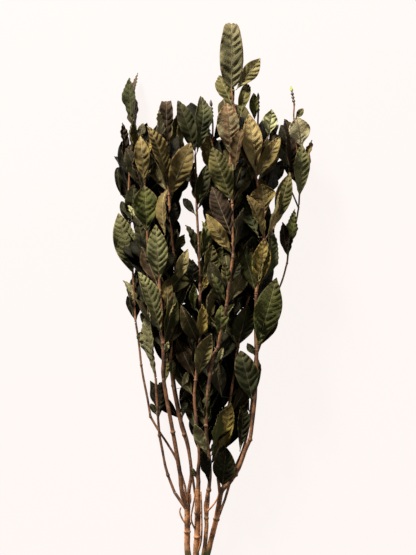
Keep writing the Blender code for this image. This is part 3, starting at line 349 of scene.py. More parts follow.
# Colours of the looks, as they show in daylight: near face, its patches and far face. Then how pale the ribs
# are, how brown the edge, how many specks, and whether the near face is the underside, with raised ribs.
LOOKS = {
    "olive": ((84, 78, 42), (54, 53, 27), (112, 102, 64), 0.2, 0.35, 0.15, False),
    "khaki": ((128, 116, 74), (88, 80, 46), (48, 50, 28), 0.4, 0.4, 0.2, True),
    "dark": ((40, 41, 20), (24, 25, 12), (84, 78, 46), 0.06, 0.15, 0.0, False),
    # near-black: partly the dark face of the leaves, partly painted shade for those deep in the foliage
    "black": ((20, 20, 11), (11, 11, 6), (50, 46, 28), 0.0, 0.0, 0.0, False),
    "brown": ((84, 64, 40), (48, 36, 22), (104, 88, 56), 0.15, 0.5, 0.25, False),
    "honey": ((112, 96, 54), (76, 63, 33), (56, 52, 30), 0.45, 0.45, 0.25, True),
    "straw": ((150, 130, 84), (118, 99, 58), (80, 76, 46), 0.3, 0.4, 0.3, True),
    "light": ((176, 174, 124), (140, 138, 92), (90, 88, 56), 0.3, 0.3, 0.2, True),
    "umber": ((50, 38, 28), (27, 20, 14), (90, 78, 56), 0.12, 0.3, 0.1, False),
    "purple": ((50, 39, 29), (28, 21, 16), (104, 90, 64), 0.12, 0.4, 0.1, False),
    "yellow": ((140, 120, 58), (98, 82, 38), (66, 66, 34), 0.3, 0.45, 0.25, True),
    "cream": ((156, 146, 114), (124, 114, 82), (80, 76, 46), 0.25, 0.45, 0.4, True),
    "green": ((78, 80, 38), (46, 50, 22), (108, 104, 62), 0.15, 0.25, 0.1, False),
    "pale": ((152, 148, 104), (114, 109, 72), (60, 60, 36), 0.3, 0.35, 0.2, True),
    "tan": ((122, 104, 58), (86, 71, 40), (56, 54, 30), 0.45, 0.4, 0.25, True),
    "moss": ((60, 62, 37), (40, 42, 25), (104, 98, 60), 0.12, 0.25, 0.1, False),
    "grey": ((74, 70, 50), (46, 44, 30), (52, 52, 34), 0.15, 0.25, 0.2, True),
    "peach": ((182, 146, 110), (146, 108, 78), (104, 86, 60), 0.3, 0.35, 0.2, True),
    "dull": ((98, 92, 63), (68, 64, 42), (52, 52, 34), 0.25, 0.5, 0.25, True),
    "edged": ((130, 124, 90), (116, 86, 60), (70, 66, 40), 0.35, 1.6, 0.3, True),
    "mint": ((112, 110, 70), (80, 80, 48), (58, 58, 36), 0.2, 0.3, 0.15, True),
}

# The draws for each blade that its solid makes too.
FOLD_DEGREES = (8, 24)
BOW = (0.01, 0.07)  # over the length
WAVE = (0.6, 1.5)

# The draws for its finish. Turns are in radians. A steep blade gets less twist, cup, skew and margin.
CURL = (0.15, 0.9)
CURL_SIDES = (-1, -1, 1)  # two tips in three curl down
CURL_START = (0.45, 0.7)  # the share of the blade that stays straight
TWIST = (-0.8, 0.8)
SHADE = (0.78, 1.2)
CUPS = (0.1, 0.25, 0.4, 0.9)
CUP_CHANGE = (0.6, 1.2)
RELIEF = (1.7, 3.1)
SKEW = (-0.3, 0.3)  # between the folds of its halves
MARGIN = (-0.6, 2.0)  # how strongly it turns up
MARGIN_SKEW = (-0.6, 0.6)
RIB_SPACING = (6.6, 9.0)  # along the blade
FEWEST_RIBS, MOST_RIBS = 5, 12
LEAN = (1.05, 1.4)  # over 1, so that the blade is widest past its middle
FULLNESS = (0.8, 1.1)
ROLLED_FULLNESS = 0.6  # of a blade whose tip rolls over by more than a radian
STALK_RADIUS = (0.65, 0.85)

PAINTED_SHADE_BEHIND = 0.45  # painted shade on the colours of all leaves behind, as if the leaves in front shadow them
PAINTED_FOOT_SHADE = 0.68  # painted shade on all but yellow leaves near the foot, darker in the photo
FOOT_SHADE_GAIN = 0.32  # what they gain up to full colour
FOOT_SHADE_END = 160  # along the stem
FULL_COLOUR_WAY = 170  # from there to full colour
FOLD_KEPT = 0.55  # of the solid's fold, because the cup does the rest
LEAST_CUP = 0.05
WAVE_GAIN = 2.1
WAVY_WIDTH = 20  # narrower blades wave less
LEAST_WAVE = 0.25
RIBBED_WIDTH = 24  # the relief goes with the width
MOST_RELIEF = 1.2
STEEP_RELIEF, LEVEL_RELIEF = 0.35, 0.65
RAISED_KEEL, SUNK_KEEL = 0.45, -0.25  # the midrib over the near face
FAR_PATCH_SHADE = 0.7

# The form of a blade in its geometry tree.
CROWDED_ENDS = 0.05  # how far its rows are moved towards its ends
NARROWEST_HALF = 0.25 * MM
RIB_SLOPE = 0.8  # how far a side rib runs forward, over the half width
RIB_BEND = 0.3
RIB_WANDER = 0.16
MARGIN_FROM = 0.55  # the share of the half width where the margin starts to turn
MARGIN_DRAW = 0.35  # how far a turned margin draws the edge in
WAVES_ALONG = 2.2
CRUMPLE_BY_WIDTH = 0.05 / MM  # under 20 mm a blade crumples less
QUILT_LUMPS = 38.0  # lumps a metre
CRUMPLE_LUMPS = 45.0
BLADE_CLEARANCE = 0.4 * MM  # over the surface
STALK_CLEARANCE = 0.2 * MM
BLADE_WELD = 0.01 * MM
STALK_WELD = 0.005 * MM
NECK = 0.25  # the share of the stalk's run that is bare
MIDRIB_END = 0.95  # the share of the blade that the midrib reaches
STALK_TAPER = 0.72
STALK_ROUNDING = 40  # how quickly the ends close

# The form of twigs and limbs.
GIRTH_LUMPS = 90.0
WRINKLE_LUMPS = 900.0
WRINKLE_STRETCH = (1.0, 0.12, 1.0)  # wrinkles run along the stem
CUT_FACING = -0.9  # the cut face looks down the stem

FINE_LEAVES = {"Rows": 61, "Columns": 13, "Stalk Sides": 7, "Stalk Rows": 17, "Thickness": 0.35 * MM,
               "Frill": 0.7 * MM, "Crumple": 3.0 * MM, "Seed": 3.0}
PLAIN_LEAVES = {"Rows": 25, "Columns": 7, "Stalk Sides": 5, "Stalk Rows": 9, "Thickness": 0.35 * MM,
                "Frill": 0.0, "Crumple": 4.0 * MM, "Seed": 5.0}
TWIG_SIZES = {"Spacing": 1.3 * MM, "Sides": 9, "Ring Swell": 0.4, "Unevenness": 0.22, "Wrinkle": 0.2 * MM,
              "Cut Place": -1.0, "Seed": 2.0}  # no twig is cut
LIMB_SIZES = {"Spacing": 1.2 * MM, "Sides": 16, "Ring Swell": 0.28, "Unevenness": 0.18, "Wrinkle": 0.3 * MM,
              "Seed": 4.0}
CUT_DEPTH = 0.5  # how far from the foot's end the sawn wood shows

# Buds: name, twig at whose end it sits, length and kind of scales. Each has leaf scars below it.
BUDS = [("far_right_bud", "far_right", 8, "green"), ("right_main_bud", "right_main", 10, "brown"),
        ("back_middle_bud", "back_middle", 9, "brown")]
BUD_RADIUS = 2.2
BUD_SINK = 1.5  # how deep it sits in the end of its twig
BUD_SIDES = 10
BUD_RIDGE = 0.12
BUD_PROFILE = [(0.08, 0.7), (0.25, 1.0), (0.5, 0.9), (0.75, 0.55), (0.92, 0.22)]  # along it, then its girth
SCARS = (1, 2, 3)
SCAR_SPACING = 4.5
SCAR_LENGTH = 5
SCAR_RADIUS = 2.4

# Colours that the shaders mix in, as shares of the light given back.
PALE_RIB = (0.62, 0.52, 0.3, 1)
PALE_RIB_SHARE = 0.45
RIB_PALENESS, MIDRIB_PALENESS = 0.3, 1.3
DARK_NET = (0.03, 0.025, 0.012, 1)
DARK_NET_SHARE = 0.18
WORN_BROWN = (0.12, 0.065, 0.03, 1)
TIP_BROWNING = 0.8  # over that of the edge
STALK_BROWN = (0.075, 0.055, 0.028, 1)
STALK_PALE = (0.2, 0.15, 0.07, 1)
DARK_FIBRE = (0.06, 0.035, 0.018, 1)
# dark node rings: partly their own brown, partly painted shade that holds down the light on their swell
RING_BROWN_AND_SHADE = (0.09, 0.05, 0.025, 1)
SCUFFED = (0.5, 0.4, 0.26, 1)
FOOT_GREEN = (0.045, 0.06, 0.018, 1)
PALE_WOOD = (0.5, 0.37, 0.2, 1)
WOOD_PATCH = (0.36, 0.25, 0.13, 1)
GROWTH_RING = (0.22, 0.13, 0.06, 1)
FLOOR_TONE = (0.93, 0.885, 0.86, 1)
FLOOR_PALE = (0.95, 0.905, 0.88, 1)
FLOOR_GLOW = (0.985, 0.925, 0.9, 1)
FLOOR_GLOW_SHARE = 0.97

# Colours of bark and bud scales as they show in daylight, each with that of its patches.
TWIG_COLOURS = ((132, 88, 56), (68, 46, 34))
# the limbs' own tan, made paler as painted light because the lamp only grazes them
LIMB_COLOURS_AND_LIGHT = ((204, 142, 94), (96, 62, 38))
GREEN_FOOT = (0.03, 0.055)  # metres from the foot, where its green fades out
SCALE_COLOURS = {"green": ((162, 168, 70), (110, 108, 56)), "brown": ((80, 58, 50), (44, 32, 28))}


class Term:
    """A number or a vector in a node tree, so that a formula can be written as one."""

    def __init__(self, tree, socket):
        self.tree = tree
        self.socket = socket

    def number(self, operation, *others):
        node = add(self.tree, "ShaderNodeMath", {0: self, **dict(enumerate(others, 1))}, operation=operation)
        return Term(self.tree, node.outputs[0])

    def vector(self, operation, other):
        node = add(self.tree, "ShaderNodeVectorMath", {0: self, 1: other}, operation=operation)
        return Term(self.tree, node.outputs[0])

    def __add__(self, other):
        if self.socket.type == "VECTOR":
            return self.vector("ADD", other)
        return self.number("ADD", other)

    __radd__ = __add__

    def __sub__(self, other):
        if self.socket.type == "VECTOR":
            return self.vector("SUBTRACT", other)
        return self.number("SUBTRACT", other)

    def __rsub__(self, other):
        return self.number("MULTIPLY_ADD", -1.0, other)

    def __mul__(self, other):
        if self.socket.type == "VECTOR":
            node = add(self.tree, "ShaderNodeVectorMath", {0: self, "Scale": other}, operation="SCALE")
            return Term(self.tree, node.outputs[0])
        if isinstance(other, Term) and other.socket.type == "VECTOR":
            return other * self
        return self.number("MULTIPLY", other)

    __rmul__ = __mul__

    def __truediv__(self, other):
        return self.number("DIVIDE", other)

    def __pow__(self, power):
        return self.number("POWER", power)

    def sine(self):
        return self.number("SINE")

    def cosine(self):
        return self.number("COSINE")

    def size(self):
        return self.number("ABSOLUTE")

    def sign(self):
        return self.number("SIGN")

    def fraction(self):
        return self.number("FRACT")

    def at_most(self, other):
        return self.number("MINIMUM", other)

    def at_least(self, other):
        return self.number("MAXIMUM", other)

    def smooth(self, low, high):
        """0 under low, 1 over high and a soft slope between."""
        node = add(self.tree, "ShaderNodeMapRange", {0: self, 1: low, 2: high},
                   interpolation_type="SMOOTHSTEP")
        return Term(self.tree, node.outputs[0])

def add(tree, kind, inputs=None, **settings):
    """A node with its settings, and its inputs by name or number, each a Term, a socket or a plain value."""
    node = tree.nodes.new(kind)
    for name, value in settings.items():
        setattr(node, name, value)
    for key, value in (inputs or {}).items():
        slot = node.inputs[key]
        if isinstance(value, Term):
            tree.links.new(value.socket, slot)
        elif isinstance(value, bpy.types.NodeSocket):
            tree.links.new(value, slot)
        else:
            slot.default_value = value
    return node


def geometry_tree(name, sizes):
    """An empty geometry tree with its named inputs. Gives the tree, its input node and their identifiers."""
    tree = bpy.data.node_groups.new(name, "GeometryNodeTree")
    tree.interface.new_socket("Geometry", in_out="INPUT", socket_type="NodeSocketGeometry")
    tree.interface.new_socket("Geometry", in_out="OUTPUT", socket_type="NodeSocketGeometry")
    keys = {}
    for label, kind in sizes:
        socket = tree.interface.new_socket(label, in_out="INPUT", socket_type="NodeSocket" + kind)
        keys[label] = socket.identifier
    return tree, tree.nodes.new("NodeGroupInput"), keys


def named(tree, name, kind="FLOAT"):
    node = add(tree, "GeometryNodeInputNamedAttribute", {"Name": name}, data_type=kind)
    return Term(tree, next(s for s in node.outputs if s.enabled and s.name == "Attribute"))


def store(tree, geometry, name, value):
    node = add(tree, "GeometryNodeStoreNamedAttribute", {"Geometry": geometry, "Name": name},
               data_type="FLOAT", domain="POINT")
    tree.links.new(value.socket, next(s for s in node.inputs if s.enabled and s.name == "Value"))
    return node.outputs[0]


def place_in_plan(tree):
    """The x and the y of each vertex."""
    node = add(tree, "ShaderNodeSeparateXYZ", {0: tree.nodes.new("GeometryNodeInputPosition").outputs[0]})
    return Term(tree, node.outputs[0]), Term(tree, node.outputs[1])


def midline(tree, share):
    """The middle of a blade at a share of its length, with its side and its face there."""
    length, bow, curl, start = (named(tree, name) for name in ("length", "bow", "curl", "curl_from"))
    line, side, up = (named(tree, name, "FLOAT_VECTOR") for name in ("line", "side", "up"))
    past = (share - start).at_least(0.0)
    angle = curl * past / (1 - start)
    radius = length * (1 - start) / curl
    along = length * share.at_most(start) + radius * angle.sine()
    rise = radius * (1 - angle.cosine()) + bow * 4 * share * (1 - share)
    middle = named(tree, "base", "FLOAT_VECTOR") + line * along + up * rise
    face = up * angle.cosine() - line * angle.sine()
    turn = named(tree, "twist") * (share - 0.5)
    return middle, side * turn.cosine() + face * turn.sine(), face * turn.cosine() - side * turn.sine()


def above_surface(tree, spot, lowest):
    parts = add(tree, "ShaderNodeSeparateXYZ", {0: spot})
    height = Term(tree, parts.outputs[2]).at_least(lowest)
    node = add(tree, "ShaderNodeCombineXYZ", {0: parts.outputs[0], 1: parts.outputs[1], 2: height})
    return Term(tree, node.outputs[0])


def lumps(tree, spot, scale, seed):
    """Even lumps from -0.5 to 0.5 all over the surface."""
    node = add(tree, "ShaderNodeTexNoise", {"Vector": spot, "W": seed, "Scale": scale, "Detail": 2.0},
               noise_dimensions="4D")
    return Term(tree, node.outputs[0]) - 0.5


def spread_over(tree, points, mesh):
    """One copy of a mesh for each point, with the point's attributes on all its vertices."""
    copies = add(tree, "GeometryNodeInstanceOnPoints", {"Points": points, "Instance": mesh})
    return add(tree, "GeometryNodeRealizeInstances", {0: copies.outputs[0]}).outputs[0]


def start_term(tree, start, label):
    return Term(tree, start.outputs[label])


def open_grid(tree, columns, rows):
    """A flat grid, with the place across it from -1 to 1 and the place along it from 0 to 1."""
    grid = add(tree, "GeometryNodeMeshGrid",
               {"Size X": 2.0, "Size Y": 1.0, "Vertices X": columns, "Vertices Y": rows})
    across, along = place_in_plan(tree)
    return grid.outputs[0], across, along + 0.5


def moved(tree, mesh, spot):
    return add(tree, "GeometryNodeSetPosition", {"Geometry": mesh, "Position": spot}).outputs[0]


def welded(tree, mesh, distance):
    return add(tree, "GeometryNodeMergeByDistance", {"Geometry": mesh, "Distance": distance}).outputs[0]


def coated(tree, mesh, material, where=True):
    node = add(tree, "GeometryNodeSetMaterial", {"Geometry": mesh, "Selection": where, "Material": material})
    return node.outputs[0]


def joined(tree, first, second):
    both = add(tree, "GeometryNodeJoinGeometry")
    tree.links.new(first, both.inputs[0])
    tree.links.new(second, both.inputs[0])
    return both.outputs[0]


def finish_tree(tree, geometry):
    smooth = add(tree, "GeometryNodeSetShadeSmooth", {0: geometry})
    add(tree, "NodeGroupOutput", {0: smooth.outputs[0]})


def rib_number(tree, share, spread, hand, half, length):
    """How many side ribs lie between the blade's foot and here. They run forward and wander a little."""
    rib = named(tree, "ribs") * (share - RIB_SLOPE * spread * half / length * (1 + RIB_BEND * spread))
    return rib + RIB_WANDER * (share * 15 + named(tree, "phase") * 3 + hand * 1.7).sine()


def section(tree, form, half, spread, hand):
    """How far a place on the blade is from the midline, sideways and up, with its fold, cup and margin."""
    fold = (named(tree, "fold") + named(tree, "skew") * hand) * form
    cup = named(tree, "cup")
    edge = fold + cup * spread
    reach = half / cup * (edge.sine() - fold.sine())
    lift = half / cup * (fold.cosine() - edge.cosine())
    turned = named(tree, "margin") + named(tree, "margin_skew") * hand
    margin = (spread - MARGIN_FROM).at_least(0.0) ** 2 * half * turned
    return reach - margin.size() * MARGIN_DRAW, lift + margin


def quilting(tree, sheet, rib, share, spread, seed):
    """How far the blade bulges between its ribs: least by the midrib and the edge, and unevenly."""
    fade = (1 - spread ** 8) * spread.smooth(0.02, 0.3) * (share * math.pi).sine() ** 0.4
    pleat = (rib * math.tau).sine() * 0.35 + (rib * math.pi).sine().size() - 0.6
    strength = lumps(tree, sheet, QUILT_LUMPS, seed) * 2.2 + 0.95
    return pleat * fade * named(tree, "relief") * strength.at_least(0.2).at_most(1.5)


def two_faced(tree, mesh, thickness, upper, under):
    """The blades with a thickness, the near face in one material and the far face in the other."""
    wall = add(tree, "GeometryNodeExtrudeMesh",
               {"Mesh": mesh, "Offset Scale": thickness, "Individual": False}, mode="FACES")
    back = add(tree, "GeometryNodeFlipFaces", {0: mesh})
    near = coated(tree, wall.outputs[0], upper)
    far = coated(tree, back.outputs[0], under)
    return welded(tree, joined(tree, near, far), BLADE_WELD)


def blade_part(tree, start, upper, under):
    """The blades: a grid for each leaf, bent to its shape, with quilting between the ribs and a thickness."""
    grid, across, share = open_grid(tree, start.outputs["Columns"], start.outputs["Rows"])
    mesh = store(tree, grid, "across", across)
    mesh = store(tree, mesh, "along", share - CROWDED_ENDS * (share * math.tau).sine())
    mesh = spread_over(tree, start.outputs["Geometry"], mesh)
    share, across = named(tree, "along"), named(tree, "across")
    spread, hand = across.size(), across.sign()
    width, length = named(tree, "width"), named(tree, "length")
    seed = start_term(tree, start, "Seed")
    form = ((share ** named(tree, "lean")) * math.pi).sine().at_least(0.0) ** named(tree, "fullness")
    half = width * 0.5 * form + NARROWEST_HALF
    middle, side, face = midline(tree, share)
    rib = rib_number(tree, share, spread, hand, half, length)
    reach, lift = section(tree, form, half, spread, hand)
    wave = named(tree, "wave") * (share * (math.tau * WAVES_ALONG) + named(tree, "phase") + hand).sine()
    ripple = wave * (share * math.pi).sine() * spread * spread
    frill = (rib * math.tau).sine() * spread ** 4 * start_term(tree, start, "Frill")
    sheet = middle + side * (hand * reach)
    quilt = quilting(tree, sheet, rib, share, spread, seed)
    spot = sheet + face * (lift + ripple + frill + quilt)
    crumple = lumps(tree, spot, CRUMPLE_LUMPS, seed) * start_term(tree, start, "Crumple")
    crumple = crumple * (width * CRUMPLE_BY_WIDTH).at_most(1.0)
    mesh = moved(tree, mesh, above_surface(tree, spot + face * crumple, BLADE_CLEARANCE))
    mesh = store(tree, mesh, "rib", rib)
    mesh = store(tree, mesh, "off", half * spread)
    return two_faced(tree, mesh, start.outputs["Thickness"], upper, under)


def stalk_part(tree, start, stalk):
    """The stalk of each leaf, from inside its twig, which runs on as the midrib and tapers off."""
    grid, across, run = open_grid(tree, start.outputs["Stalk Sides"], start.outputs["Stalk Rows"])
    mesh = store(tree, grid, "around", across)
    mesh = store(tree, mesh, "run", run)
    mesh = spread_over(tree, start.outputs["Geometry"], mesh)
    run, turn = named(tree, "run"), named(tree, "around") * math.pi
    share = ((run - NECK) * (MIDRIB_END / (1 - NECK))).at_least(0.0)
    middle, side, face = midline(tree, share)
    root, base = named(tree, "root", "FLOAT_VECTOR"), named(tree, "base", "FLOAT_VECTOR")
    middle = middle + (root - base) * (1 - (run / NECK).at_most(1.0))
    middle = middle + face * (named(tree, "keel") * run.smooth(NECK * 0.6, NECK * 1.4))
    opening, closing = (run * STALK_ROUNDING).at_most(1.0), ((1 - run) * STALK_ROUNDING).at_most(1.0)
    radius = named(tree, "stalk") * (1 - STALK_TAPER * run) * opening * closing
    spot = middle + side * (turn.cosine() * radius) - face * (turn.sine() * radius)
    mesh = moved(tree, mesh, above_surface(tree, spot, STALK_CLEARANCE))
    return coated(tree, welded(tree, mesh, STALK_WELD), stalk)


def leafy_spray_tree(upper, under, stalk):
    tree, start, keys = geometry_tree("leafy_spray", [
        ("Rows", "Int"), ("Columns", "Int"), ("Stalk Sides", "Int"), ("Stalk Rows", "Int"),
        ("Thickness", "Float"), ("Frill", "Float"), ("Crumple", "Float"), ("Seed", "Float")])
    stalks = stalk_part(tree, start, stalk)
    blades = blade_part(tree, start, upper, under)
    finish_tree(tree, joined(tree, stalks, blades))
    return tree, keys


def twig_tree(name, bark, cut):
    """Round stems along the edges of a mesh, with swollen rings, an uneven girth and lengthwise wrinkles."""
    tree, start, keys = geometry_tree(name, [
        ("Spacing", "Float"), ("Sides", "Int"), ("Ring Swell", "Float"), ("Unevenness", "Float"),
        ("Wrinkle", "Float"), ("Cut Place", "Float"), ("Seed", "Float")])
    line = add(tree, "GeometryNodeMeshToCurve", {0: start.outputs["Geometry"]})
    curved = add(tree, "GeometryNodeCurveSplineType", {0: line.outputs[0]}, spline_type="CATMULL_ROM")
    even = add(tree, "GeometryNodeResampleCurve",
               {"Curve": curved.outputs[0], "Length": start.outputs["Spacing"]}, mode="LENGTH")
    here = Term(tree, tree.nodes.new("GeometryNodeInputPosition").outputs[0])
    seed = start_term(tree, start, "Seed")
    swell = named(tree, "ring").smooth(0.0, 1.0) * start_term(tree, start, "Ring Swell")
    uneven = lumps(tree, here, GIRTH_LUMPS, seed) * start_term(tree, start, "Unevenness")
    girth = named(tree, "girth") * (1 + swell + uneven)
    circle = add(tree, "GeometryNodeCurvePrimitiveCircle",
                 {"Resolution": start.outputs["Sides"], "Radius": 1.0})
    stem = add(tree, "GeometryNodeCurveToMesh", {"Curve": even.outputs[0], "Profile Curve": circle.outputs[0],
                                                 "Scale": girth, "Fill Caps": True})
    stretched = add(tree, "ShaderNodeVectorMath", {0: here, 1: WRINKLE_STRETCH}, operation="MULTIPLY")
    wrinkle = lumps(tree, stretched.outputs[0], WRINKLE_LUMPS, seed) * start_term(tree, start, "Wrinkle")
    normal = Term(tree, tree.nodes.new("GeometryNodeInputNormal").outputs[0])
    rough = add(tree, "GeometryNodeSetPosition", {"Geometry": stem.outputs[0], "Offset": normal * wrinkle})
    _, along = place_in_plan(tree)
    facing = add(tree, "ShaderNodeSeparateXYZ", {0: normal})
    at_cut = along.number("LESS_THAN", start_term(tree, start, "Cut Place"))
    at_cut = at_cut * Term(tree, facing.outputs[1]).number("LESS_THAN", CUT_FACING)
    finish_tree(tree, coated(tree, coated(tree, rough.outputs[0], bark), cut, at_cut))
    return tree, keys


def shader_group(name, inputs, outputs):
    """An empty shader group with named inputs and outputs, and its input node."""
    tree = bpy.data.node_groups.new(name, "ShaderNodeTree")
    for label, kind, value in inputs:
        socket = tree.interface.new_socket(label, in_out="INPUT", socket_type="NodeSocket" + kind)
        socket.default_value = value
    for label, kind in outputs:
        tree.interface.new_socket(label, in_out="OUTPUT", socket_type="NodeSocket" + kind)
    return tree, tree.nodes.new("NodeGroupInput")


def mixed(tree, share, first, second, how="MIX"):
    node = add(tree, "ShaderNodeMix", {0: share, 6: first, 7: second}, data_type="RGBA", blend_type=how)
    return node.outputs[2]


def surface_noise(tree, scale, detail=3.0, stretch=(1.0, 1.0, 1.0), roughness=0.55):
    """Noise that sits on the piece, 0 to 1, at so many lumps a metre."""
    place = add(tree, "ShaderNodeTexCoord").outputs["Object"]
    place = add(tree, "ShaderNodeMapping", {"Vector": place, "Scale": stretch}).outputs[0]
    node = add(tree, "ShaderNodeTexNoise", {"Vector": place, "Scale": scale, "Detail": detail,
                                            "Roughness": roughness})
    return Term(tree, node.outputs[0])


def seen_attribute(tree, name, output="Fac"):
    return Term(tree, add(tree, "ShaderNodeAttribute", attribute_name=name).outputs[output])


def dry_mottle_group():
    """Uneven drying: broad patches, fine grain and dark specks."""
    tree, start = shader_group(
        "dry_mottle",
        [("Color", "Color", (0.5, 0.5, 0.5, 1)), ("Patch Color", "Color", (0.2, 0.2, 0.2, 1)),
         ("Speck Color", "Color", (0.02, 0.015, 0.01, 1)), ("Patch Scale", "Float", 60.0),
         ("Grain Scale", "Float", 600.0), ("Specks", "Float", 0.2)],
        [("Color", "Color"), ("Grain", "Float")])
    patches = surface_noise(tree, start_term(tree, start, "Patch Scale"), 4.0).smooth(0.36, 0.66)
    grain = surface_noise(tree, start_term(tree, start, "Grain Scale"), 3.0)
    colour = mixed(tree, patches, start.outputs["Color"], start.outputs["Patch Color"])
    shade = grain * 0.5 + 0.75
    colour = mixed(tree, 1.0, colour, shade.socket, "MULTIPLY")
    speck = surface_noise(tree, start_term(tree, start, "Grain Scale") * 0.55, 1.0).smooth(0.64, 0.72)
    colour = mixed(tree, speck * start_term(tree, start, "Specks"), colour, start.outputs["Speck Color"])
    add(tree, "NodeGroupOutput", {0: colour, 1: grain.socket})
    return tree


def leaf_vein_group():
    """Side ribs, midrib and the net between them, from the places that the blade's mesh carries."""
    tree, start = shader_group("leaf_veins", [("Rib Width", "Float", 0.2), ("Net Scale", "Float", 3.2)],
                               [("Ribs", "Float"), ("Midrib", "Float"), ("Net", "Float"), ("Edge", "Float")])
    rib, off = seen_attribute(tree, "rib"), seen_attribute(tree, "off")
    across = seen_attribute(tree, "across").size()
    wander = (surface_noise(tree, 130.0, 2.0) - 0.5) * 0.35
    near = ((rib + wander).fraction() - 0.5).size() * 2
    ribs = near.smooth(1 - start_term(tree, start, "Rib Width"), 1.0) * (1 - across.smooth(0.86, 1.0))
    midrib = 1 - off.smooth(0.3 * MM, 1.0 * MM)
    spot = add(tree, "ShaderNodeCombineXYZ", {0: rib, 1: off * 260.0, 2: seen_attribute(tree, "phase")})
    cells = add(tree, "ShaderNodeTexVoronoi",
                {"Vector": spot.outputs[0], "Scale": start_term(tree, start, "Net Scale")},
                feature="DISTANCE_TO_EDGE")
    net = 1 - Term(tree, cells.outputs[0]).smooth(0.0, 0.09)
    add(tree, "NodeGroupOutput", {0: ribs, 1: midrib, 2: net, 3: across.smooth(0.7, 1.0)})
    return tree


def new_material(name, **plain):
    """A material with its shader, whose even values are set on the shader's own sockets."""
    material = bpy.data.materials.new(name)
    material.use_nodes = True
    tree = material.node_tree
    shader = tree.nodes["Principled BSDF"]
    for label, value in plain.items():
        shader.inputs[label.replace("_", " ").title().replace("Ior", "IOR")].default_value = value
    return material, tree, shader


def dried(tree, mottle, **values):
    """A colour after its uneven drying, and the grain of the dried surface."""
    inputs = {label.replace("_", " ").title(): value for label, value in values.items()}
    node = add(tree, "ShaderNodeGroup", inputs, node_tree=mottle)
    return node.outputs["Color"], Term(tree, node.outputs["Grain"])


def surfaced(tree, shader, colour, roughness, height, depth):
    """Gives the shader its colour, its roughness and bumps of a depth in millimetres."""
    node = add(tree, "ShaderNodeBump", {"Height": height, "Distance": depth * MM, "Strength": 1.0})
    tree.links.new(colour, shader.inputs["Base Color"])
    tree.links.new(roughness.socket, shader.inputs["Roughness"])
    tree.links.new(node.outputs[0], shader.inputs["Normal"])


def leaf_material(name, colour_name, vein_side, mottle, veins):
    """One face of the leaves. vein_side is 1 where the ribs stand up and -1 where they are grooves."""
    material, tree, shader = new_material(name, specular_ior_level=0.1, specular_tint=(1.0, 0.86, 0.62, 1))
    even, grain = dried(tree, mottle, color=seen_attribute(tree, colour_name, "Color"),
                        patch_color=seen_attribute(tree, colour_name + "_patch", "Color"),
                        specks=seen_attribute(tree, "specks"), patch_scale=55.0, grain_scale=700.0)
    vein = add(tree, "ShaderNodeGroup", node_tree=veins)
    ribs, midrib, net, edge = (Term(tree, vein.outputs[label]) for label in ("Ribs", "Midrib", "Net", "Edge"))
    paleness = seen_attribute(tree, "rib_show")
    pale = mixed(tree, PALE_RIB_SHARE, even, PALE_RIB)
    lined = (ribs * paleness * RIB_PALENESS + midrib * paleness * MIDRIB_PALENESS).at_most(1.0)
    shown = mixed(tree, lined, even, pale)
    shown = mixed(tree, net * DARK_NET_SHARE, shown, DARK_NET)
    worn = surface_noise(tree, 150.0, 3.0).smooth(0.4, 0.62)
    tip = seen_attribute(tree, "along").smooth(0.5, 1.0)
    brown = ((edge + tip * TIP_BROWNING) * worn * seen_attribute(tree, "browning")).at_most(1.0)
    shown = mixed(tree, brown, shown, WORN_BROWN)
    crinkle = surface_noise(tree, 200.0, 3.0) * 1.2
    height = ribs * vein_side * 0.6 + midrib * vein_side * 0.8 - net * 0.12 + grain * 0.35 + crinkle
    surfaced(tree, shader, shown, 0.48 + grain * 0.3, height, 0.6)
    return material


def stalk_material(mottle):
    material, tree, shader = new_material("leaf_stalk", specular_ior_level=0.3)
    shown, grain = dried(tree, mottle, color=STALK_BROWN, patch_color=STALK_PALE, patch_scale=90.0)
    surfaced(tree, shader, shown, 0.5 + grain * 0.3, grain, 0.15)
    return material


def bark_material(name, colours, green_foot, mottle):
    """Dry bark with fibres along the stem, leaf rings darkened partly as painted shade, and black dots. The
    foot of the stem is still green.
    """
    material, tree, shader = new_material(name, specular_ior_level=0.25)
    bark, patch = ((*daylight(colour), 1) for colour in colours)
    shown, grain = dried(tree, mottle, color=bark, patch_color=patch, patch_scale=70.0, grain_scale=500.0,
                         specks=0.75)
    fibre = surface_noise(tree, 900.0, 3.0, (1.0, 0.06, 1.0))
    shown = mixed(tree, fibre.smooth(0.45, 0.75) * 0.5, shown, DARK_FIBRE)
    ring = seen_attribute(tree, "ring")
    # node rings darkened: partly their own brown, partly painted shade against the light on their swell
    shown = mixed(tree, ring.smooth(0.2, 1.0) * 0.8, shown, RING_BROWN_AND_SHADE)
    scuffed = surface_noise(tree, 260.0, 4.0).smooth(0.6, 0.7)
    shown = mixed(tree, scuffed * 0.4, shown, SCUFFED)
    if green_foot:
        place = add(tree, "ShaderNodeSeparateXYZ", {0: add(tree, "ShaderNodeTexCoord").outputs["Object"]})
        along = Term(tree, place.outputs[1]) + (surface_noise(tree, 60.0, 3.0) - 0.5) * 0.05
        shown = mixed(tree, 1 - along.smooth(*green_foot), shown, FOOT_GREEN)
    surfaced(tree, shader, shown, 0.6 + grain * 0.25, fibre + grain * 0.5 + ring * 0.3, 0.5)
    return material


def cut_wood_material(foot, mottle):
    """The sawn face of the foot: pale wood with growth rings round the pith."""
    material, tree, shader = new_material("cut_wood", specular_ior_level=0.2)
    place = add(tree, "ShaderNodeTexCoord").outputs["Object"]
    centred = add(tree, "ShaderNodeMapping", {"Vector": place, "Location": (-foot.x, 0.0, -foot.z)})
    rings = add(tree, "ShaderNodeTexWave", {"Vector": centred.outputs[0], "Scale": 260.0, "Distortion": 1.5},
                wave_type="RINGS", rings_direction="Y")
    shown, grain = dried(tree, mottle, color=PALE_WOOD, patch_color=WOOD_PATCH)
    shown = mixed(tree, Term(tree, rings.outputs["Fac"]) * 0.35, shown, GROWTH_RING)
    surfaced(tree, shader, shown, 0.65 + grain * 0.25, grain, 0.3)
    return material


